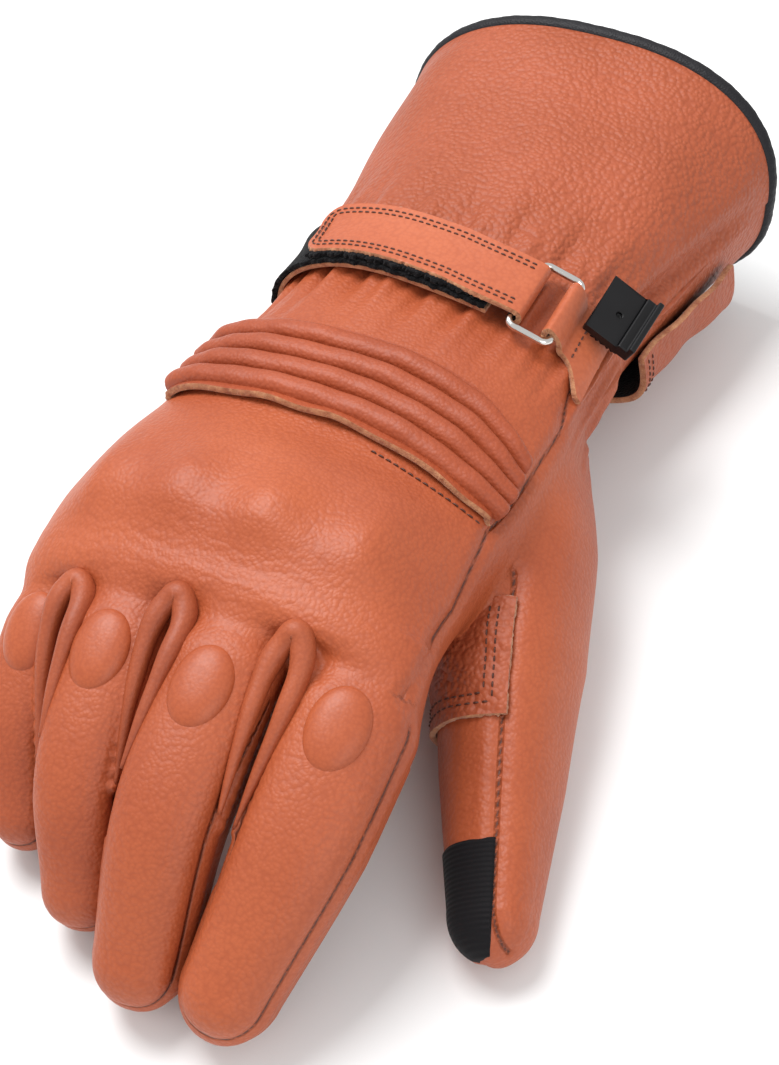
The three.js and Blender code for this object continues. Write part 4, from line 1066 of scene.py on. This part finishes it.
# Its two rows of stitches follow the cut edge and the rounded tip.
strap_normals = -grid_normals(strap)
rows = []
for inset in (1.9, 3.5):
    inside = np.searchsorted(-rest_of_way, -inset) + len(fold)
    ratio = np.clip((half - inset) / np.maximum(half, 1e-6), 0, 1)
    top, low = [], []
    for side, keep in ((1, top), (-1, low)):
        column = 16 + side * 16 * ratio
        i = np.arange(len(fold) - 3, inside)
        at = column[np.maximum(i - len(fold), 0)]
        whole = np.clip(at.astype(int), 0, 31)
        part = (at - whole)[:, None]
        keep.append(strap[i, whole] * (1 - part) + strap[i, whole + 1] * part)
        keep.append(strap_normals[i, whole] * (1 - part) + strap_normals[i, whole + 1] * part)
    across_end = np.linspace(0, 1, 30)[1:-1, None]
    bridge = top[0][-1] * (1 - across_end) + low[0][-1] * across_end
    bridge_normal = np.repeat(top[1][-1][None], len(bridge), 0)
    rows.append((np.concatenate([top[0], bridge, low[0][::-1]]),
                 np.concatenate([top[1], bridge_normal, low[1][::-1]])))
stitched("strap_stitching", rows, peel)


def nickel(name):
    """Bright nickel plate on steel wire: a mirror with the faint ripple of the drawn wire."""
    material, tree, shader = new_material(name)
    place = add_node(tree, "ShaderNodeTexCoord").outputs["Object"]
    ripple = add_node(tree, "ShaderNodeTexNoise", {"Scale": METRE / 1.5, "Detail": 3.0}, {"Vector": place})
    gloss = add_node(tree, "ShaderNodeMapRange", {"To Min": 0.1, "To Max": 0.24}, {"Value": ripple.outputs["Fac"]})
    bump = add_node(tree, "ShaderNodeBump", {"Strength": 0.5, "Distance": 0.02 / METRE},
                    {"Height": ripple.outputs["Fac"]})
    tree.links.new(gloss.outputs["Result"], shader.inputs["Roughness"])
    tree.links.new(bump.outputs["Normal"], shader.inputs["Normal"])
    shader.inputs["Base Color"].default_value = linear("#d9d6d2")
    shader.inputs["Metallic"].default_value = 1.0
    return material


def rounded_loop(half_x, half_y, corner, count):
    """A rectangle with rounded corners as points at equal angles round each corner, and their outward angles."""
    turns = np.concatenate([np.linspace(k * 90, k * 90 + 90, count) for k in range(4)])
    centres = np.repeat([[1, 1], [-1, 1], [-1, -1], [1, -1]], count, 0) * [half_x - corner, half_y - corner]
    turns = np.radians(turns)
    return centres + corner * np.stack([np.cos(turns), np.sin(turns)], -1), turns


flat, outward = rounded_loop(RING_WIDTH / 2, RING_LENGTH / 2, RING_CORNER, 10)
b = np.linspace(0, 2 * np.pi, 21)[:-1]
out = RING_WIRE * np.cos(b)
x = flat[:, :1] + out * np.cos(outward)[:, None]
y = flat[:, 1:] + out * np.sin(outward)[:, None]
z = np.broadcast_to(RING_WIRE * np.sin(b), x.shape)
points = ring_middle + x[..., None] * ring_side + y[..., None] * ring_long + z[..., None] * ring_up
number = np.arange(x.size).reshape(x.shape)
faces = np.stack([number, np.roll(number, -1, 0),
                  np.roll(np.roll(number, -1, 0), -1, 1), np.roll(number, -1, 1)], -1)
piece = make_piece("nickel_ring", points.reshape(-1, 3), faces.reshape(-1, 4), [nickel("nickel_plated_wire")])
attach(piece, "ring")
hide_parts("strap_ring")

# The tab: leather folded round the ring's other bar and sewn down; its lower edge curves out to the side seam.
turn_angle = np.radians(np.linspace(276, 98, 36))
bar = ring_middle + ring_side * RING_WIDTH / 2
round_bar = bar + 2.9 * (np.cos(turn_angle)[:, None] * ring_side + np.sin(turn_angle)[:, None] * ring_up)
width = np.linspace(-1, 1, 31)
fold = round_bar[:, None] + width[None, :, None] * ring_long * 9.4
lie = np.linspace(47, 25.5, 46)
low = -9.3 - 8.0 * smoothstep(lie, 46, 27) ** 1.6
high = 9.3 - 1.5 * smoothstep(lie, 46, 27)
tab_y = ring_y + (low + high)[:, None] / 2 + width * ((high - low) / 2)[:, None]
tab = on_hand(tab_y, lie[:, None], (2.3 + 4.2 * smoothstep(lie, 43, 49))[:, None])
both = np.concatenate([fold, tab])
for _ in range(10):
    both[32:40] = (both[31:39] + 2 * both[32:40] + both[33:41]) / 4
piece = panel("ring_tab_leather", both, 1.6, [STRAP_LEATHER, RAW_EDGE, RAW_EDGE], fray=0.18)
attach(piece, "hand")
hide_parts("ring_tab", "ring_tab_fold")
tab_normals = grid_normals(both)
stitched("ring_tab_stitching", [(both[52, 2:-2], tab_normals[52, 2:-2])], "hand")

# ---- cuff flap ----
# A cowhide flap sewn to the cuff under the thumb side and wrapped round below the wrist, where tape holds it.

FLAP_LOW, FLAP_HIGH = 108.0, 158.0
y, angle = np.meshgrid(np.linspace(FLAP_LOW, FLAP_HIGH, 60), np.linspace(-118, -8, 112), indexing="ij")
lift = 4.8 - 2.1 * smoothstep(angle, -68, -20) + 0.5 * np.sin(angle * 0.13 + y * 0.11) + 0.3 * np.sin(y * 0.31)
lift += 4.2 * np.exp(-(((angle + 32) / 17) ** 2))
points = on_hand(y, angle, lift)
piece = panel("cuff_flap_leather", points, 1.8, [CUFF_LEATHER, RAW_EDGE, HOOK_TAPE], fray=0.15)
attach(piece, "cuff_flap")
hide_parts("cuff_flap")
flap_normals = grid_normals(points)
stitched("flap_stitching", [(points[3, 3:-3], flap_normals[3, 3:-3]), (points[6, 3:-3], flap_normals[6, 3:-3]),
                            (points[4:-4, 3], flap_normals[4:-4, 3])], "cuff_flap")
for name, node, angles, lift, body in (("flap_loop_pile", "flap_loop_tape", (-128, -84), 1.75, "hand"),
                                       ("flap_hook_pile", "flap_hook_tape", (-112, -76), 2.9, "cuff_flap")):
    y, angle = np.meshgrid(np.linspace(112, 154, 20), np.linspace(*angles, 40), indexing="ij")
    points = on_hand(y, angle, lift)
    piece = panel(name, points, 1.1, [HOOK_TAPE] * 3, fray=0.2)
    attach(piece, body)
    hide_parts(node)

# ---- clip on the side seam ----
# A small injection-moulded nylon clip with a folded lip, on a short webbing loop. Its faces have a fine spark
# texture and its edges a small radius from the mould.

CLIP_WIDTH, CLIP_LENGTH, CLIP_THICK, LIP, LIP_RISE = 14.0, 17.0, 2.4, 4.2, 3.4
clip_out = np.array([0.5, -0.2, 0.84])
clip_out /= np.linalg.norm(clip_out)
clip_side = np.cross([0, 1, 0], clip_out)
clip_side /= np.linalg.norm(clip_side)
clip_long = np.cross(clip_out, clip_side)
clip_foot = on_hand(99.5, 32, 4.2) + clip_out * 3


def on_clip(x, y, z):
    """A point of the clip: across it, along it, and out from the glove."""
    return clip_foot + (np.asarray(x)[..., None] * clip_side + np.asarray(y)[..., None] * clip_long
                        + np.asarray(z)[..., None] * clip_out)


def moulded_nylon(name):
    """Black injection-moulded nylon: fine spark-eroded texture, half matt."""
    material, tree, shader = new_material(name)
    place = add_node(tree, "ShaderNodeTexCoord").outputs["Object"]
    spark = add_node(tree, "ShaderNodeTexNoise", {"Scale": METRE / 0.4, "Detail": 3.0}, {"Vector": place})
    rub = add_node(tree, "ShaderNodeTexNoise", {"Scale": METRE / 7, "Detail": 4.0}, {"Vector": place})
    colour = add_node(tree, "ShaderNodeMix", {"data_type": "RGBA", 6: linear("#09080a"), 7: linear("#100f11")},
                      {0: rub.outputs["Fac"]})
    gloss = add_node(tree, "ShaderNodeMapRange", {"To Min": 0.34, "To Max": 0.52}, {"Value": rub.outputs["Fac"]})
    bump = add_node(tree, "ShaderNodeBump", {"Strength": 0.7, "Distance": 0.03 / METRE},
                    {"Height": spark.outputs["Fac"]})
    tree.links.new(colour.outputs[2], shader.inputs["Base Color"])
    tree.links.new(gloss.outputs["Result"], shader.inputs["Roughness"])
    tree.links.new(bump.outputs["Normal"], shader.inputs["Normal"])
    shader.inputs["Specular IOR Level"].default_value = 0.3
    return material


w, top = CLIP_WIDTH / 2, CLIP_THICK
profile = np.array([[-w, 0], [w, 0], [w, top + LIP_RISE], [w - 1.6, top + LIP_RISE], [w - 1.6, top + 1.5],
                    [w - LIP, top + 1.5], [w - LIP, top], [-w, top]])
# The plate's top has a square of faces round the dimple, whose floor lies 1 mm down.
y0, y1 = -CLIP_LENGTH * 2 / 3, CLIP_LENGTH / 3
count = len(profile)
ends = [on_clip(profile[:, 0], np.full(count, y), profile[:, 1]) for y in (y0, y1)]
i = np.arange(count)
faces = [[a, (a + 1) % count, count + (a + 1) % count, count + a] for a in i if a != 6]
faces += [list(i[::-1]), list(i + count)]
ring_angle = np.linspace(0, 2 * np.pi, 17)[:-1]
dimple = np.array([-1.0, (y0 + y1) / 2])
rim_points = [on_clip(dimple[0] + r * np.cos(ring_angle), dimple[1] + r * np.sin(ring_angle), np.full(16, z))
              for r, z in ((1.05, top), (0.9, top - 0.15), (0.85, top - 1.0))]
points = np.concatenate([*ends, *rim_points])
first = 2 * count
for k in range(2):
    faces += [[first + 16 * k + a, first + 16 * k + (a + 1) % 16, first + 16 * (k + 1) + (a + 1) % 16,
               first + 16 * (k + 1) + a] for a in range(16)]
faces.append([first + 32 + a for a in range(16)])
corners = [count + 6, count + 7, 7, 6]
for k in range(4):
    arc = [first + (4 * k + 2 + a) % 16 for a in range(5)]
    faces.append([corners[k], corners[(k + 1) % 4], *arc[::-1]])
mesh = bpy.data.meshes.new("moulded_clip")
mesh.from_pydata(in_place(points).tolist(), [], faces)
mesh.materials.append(moulded_nylon("moulded_nylon"))
piece = bpy.data.objects.new("moulded_clip", mesh)
bpy.context.collection.objects.link(piece)
bevel = piece.modifiers.new("mould radius", "BEVEL")
bevel.width, bevel.segments, bevel.limit_method, bevel.angle_limit = 0.0004, 3, "ANGLE", math.radians(60)
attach(piece, "pair_clip")
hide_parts("pair_clip")

across, along = np.meshgrid(np.linspace(-4, 4, 13), np.linspace(-10.5, 2.5, 28), indexing="ij")
points = on_clip(across, along, -0.3 + 0.12 * np.sin(along * 4.2) * np.sin(across * 3.9))
WEBBING = leathercloth("black_webbing", "#131216", "#09090b", 0.5)
piece = panel("clip_webbing", points, 1.2, [WEBBING] * 3, fray=0.05)
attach(piece, "hand")
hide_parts("clip_loop")

# ---- thumb: touch panel and crotch patch ----
# The inner side of the thumb's tip is conductive suede with fine ribs. A doubled patch of cowhide with raw edges and
# two rows of stitches strengthens the crotch.

TOUCH_FROM = 0.895  # share of the thumb's length


def touch_suede(name, body_mm):
    """Conductive microfibre suede: nearly black, with fine pressed ribs and a dull sheen."""
    material, tree, shader = new_material(name)
    along = add_node(tree, "ShaderNodeAttribute", {"attribute_name": "run"})
    rib = add_node(tree, "ShaderNodeMath", {"operation": "SINE"}, {0: add_node(
        tree, "ShaderNodeMath", {"operation": "MULTIPLY", 1: 2 * math.pi / body_mm},
        {0: along.outputs["Fac"]}).outputs[0]})
    place = add_node(tree, "ShaderNodeTexCoord").outputs["Object"]
    nap = add_node(tree, "ShaderNodeTexNoise", {"Scale": METRE / 0.5, "Detail": 3.0}, {"Vector": place})
    colour = add_node(tree, "ShaderNodeMix", {"data_type": "RGBA", 6: linear("#0b0a0c"), 7: linear("#141215")},
                      {0: nap.outputs["Fac"]})
    bump = add_node(tree, "ShaderNodeBump", {"Strength": 0.8, "Distance": 0.09 / METRE}, {"Height": rib.outputs[0]})
    bump = add_node(tree, "ShaderNodeBump", {"Strength": 0.7, "Distance": 0.06 / METRE},
                    {"Height": nap.outputs["Fac"], "Normal": bump.outputs["Normal"]})
    tree.links.new(colour.outputs[2], shader.inputs["Base Color"])
    tree.links.new(bump.outputs["Normal"], shader.inputs["Normal"])
    shader.inputs["Roughness"].default_value = 0.72
    shader.inputs["Specular IOR Level"].default_value = 0.15
    shader.inputs["Sheen Weight"].default_value = 0.04
    return material


s, angle = np.meshgrid(np.linspace(THUMB.length * TOUCH_FROM, THUMB.length + THUMB.tip * 0.97, 44),
                       np.linspace(246, 151, 48), indexing="ij")
points = THUMB.on(s, angle, 0.45)
piece = panel("thumb_touch_suede", points, 0.8, [touch_suede("touch_suede", 1.1)] * 3, shoulder=0.4,
              attributes={"run": s})
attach(piece, "thumb")
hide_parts("thumb_touch_pad")

s, angle = np.meshgrid(np.linspace(THUMB.length * 0.44, THUMB.length * 0.665, 40), np.linspace(262, 147, 52),
                       indexing="ij")
points = THUMB.on(s, angle, 1.5 + 0.25 * np.sin(angle * 0.12 + s * 0.5))
piece = panel("thumb_web_leather", points, 1.5, [CUFF_LEATHER, RAW_EDGE, RAW_EDGE], fray=0.2)
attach(piece, "hand")
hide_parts("thumb_web_patch")
patch_normals = grid_normals(points)
rows = [(points[-row, 3:-column], patch_normals[-row, 3:-column]) for row, column in ((5, 6), (8, 9))]
rows += [(points[3:-row, -column], patch_normals[3:-row, -column]) for row, column in ((5, 6), (8, 9))]
stitched("thumb_web_stitching", rows, "hand")

# ---- palm patch ----
# A rounded square of doubled cowhide under the palm, flat below, whose border turns up to the palm, with two rows
# of stitches round it. The palm isn't seen, and this is the usual one.

PATCH_HALF, PATCH_LENGTH, PATCH_FACE = 26.0, 25.0, -30.1


def palm_height(x, y):
    """The palm's z under a point: the lower half of the section's superellipse, rolled with it."""
    cx, cz, half, back, palm, roll = section(y)
    roll = np.radians(roll)
    across = np.clip(np.abs((x - cx) / half), 0, 0.98)
    return cz - (x - cx) * np.sin(roll) - palm * (1 - across**SQUARENESS) ** (1 / SQUARENESS)


a, b = np.meshgrid(np.linspace(-1, 1, 60), np.linspace(-1, 1, 60), indexing="ij")
bend = (np.abs(a) ** 6 + np.abs(b) ** 6) ** (1 / 6) / np.maximum(np.maximum(np.abs(a), np.abs(b)), 1e-6)
x, y = PATCH["x"] + b / bend * PATCH_HALF, PATCH["y"] + a / bend * PATCH_LENGTH
rise = smoothstep(np.maximum(np.abs(a), np.abs(b)), 0.74, 1.02) ** 1.3
points = np.stack([x, y, PATCH_FACE + (palm_height(x, y) - 0.9 - PATCH_FACE) * rise], -1)
piece = panel("palm_patch_leather", points, 1.3, [CUFF_LEATHER, RAW_EDGE, RAW_EDGE], fray=0.15)
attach(piece, "hand")
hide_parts("palm_patch")
patch_normals = grid_normals(points)
rows = []
for k in (4, 7):
    loop = np.concatenate([points[k, k:-k], points[k:-k, -k - 1],
                           points[-k - 1, -k - 1:k - 1:-1], points[-k - 1:k - 1:-1, k]])
    rows.append((loop, np.repeat([[0.0, 0.0, -1.0]], len(loop), 0)))
stitched("palm_patch_stitching", rows, "hand")

# ---- floor, light and camera ----
# A pale sweep, one large soft light above the fingers' side, a weaker one behind, and an even pale surround.

floor_mesh = bpy.data.meshes.new("floor")
floor_mesh.from_pydata([(-3, -3, 0), (3, -3, 0), (3, 3, 0), (-3, 3, 0)], [], [(0, 1, 2, 3)])
floor = bpy.data.objects.new("floor", floor_mesh)
bpy.context.collection.objects.link(floor)
floor_paint, tree, shader = new_material("white_card")
shader.inputs["Base Color"].default_value = linear("#ebebeb")
shader.inputs["Roughness"].default_value = 0.9
floor_mesh.materials.append(floor_paint)

world = bpy.data.worlds.new("studio")
bpy.context.scene.world = world
world.use_nodes = True
world.node_tree.nodes["Background"].inputs["Color"].default_value = linear("#ffffff")
world.node_tree.nodes["Background"].inputs["Strength"].default_value = 0.75


def soft_light(name, at, towards, size, power):
    """A square soft box that looks at a point."""
    light = bpy.data.lights.new(name, "AREA")
    light.shape, light.size, light.energy = "SQUARE", size, power
    lamp = bpy.data.objects.new(name, light)
    lamp.location = at
    lamp.rotation_euler = (Vector(towards) - Vector(at)).to_track_quat("-Z", "Y").to_euler()
    bpy.context.collection.objects.link(lamp)


soft_light("key_softbox", (-0.35, 0.10, 0.85), (0, 0, 0.03), 0.5, 9)
soft_light("fill_softbox", (0.8, -0.6, 0.7), (0, 0, 0.03), 0.8, 4)

CAMERA_AT, CAMERA_AIM = in_place([163.4, -229.5, 316.8]), in_place([18.0, 24.5, -6.3])
CAMERA_ROLL = -5.07
LENS_MM = 60.3
lens = bpy.data.cameras.new("camera")
lens.lens, lens.sensor_width, lens.clip_start = LENS_MM, 36.0, 0.01
lens.shift_x, lens.shift_y = -0.005, -0.004
camera = bpy.data.objects.new("camera", lens)
camera.location = CAMERA_AT
turned = (Vector(CAMERA_AIM) - Vector(CAMERA_AT)).to_track_quat("-Z", "Y").to_matrix().to_4x4()
camera.rotation_euler = (turned @ Matrix.Rotation(math.radians(CAMERA_ROLL), 4, "Z")).to_euler()
bpy.context.collection.objects.link(camera)
bpy.context.scene.camera = camera
bpy.context.scene.view_settings.view_transform = "Standard"
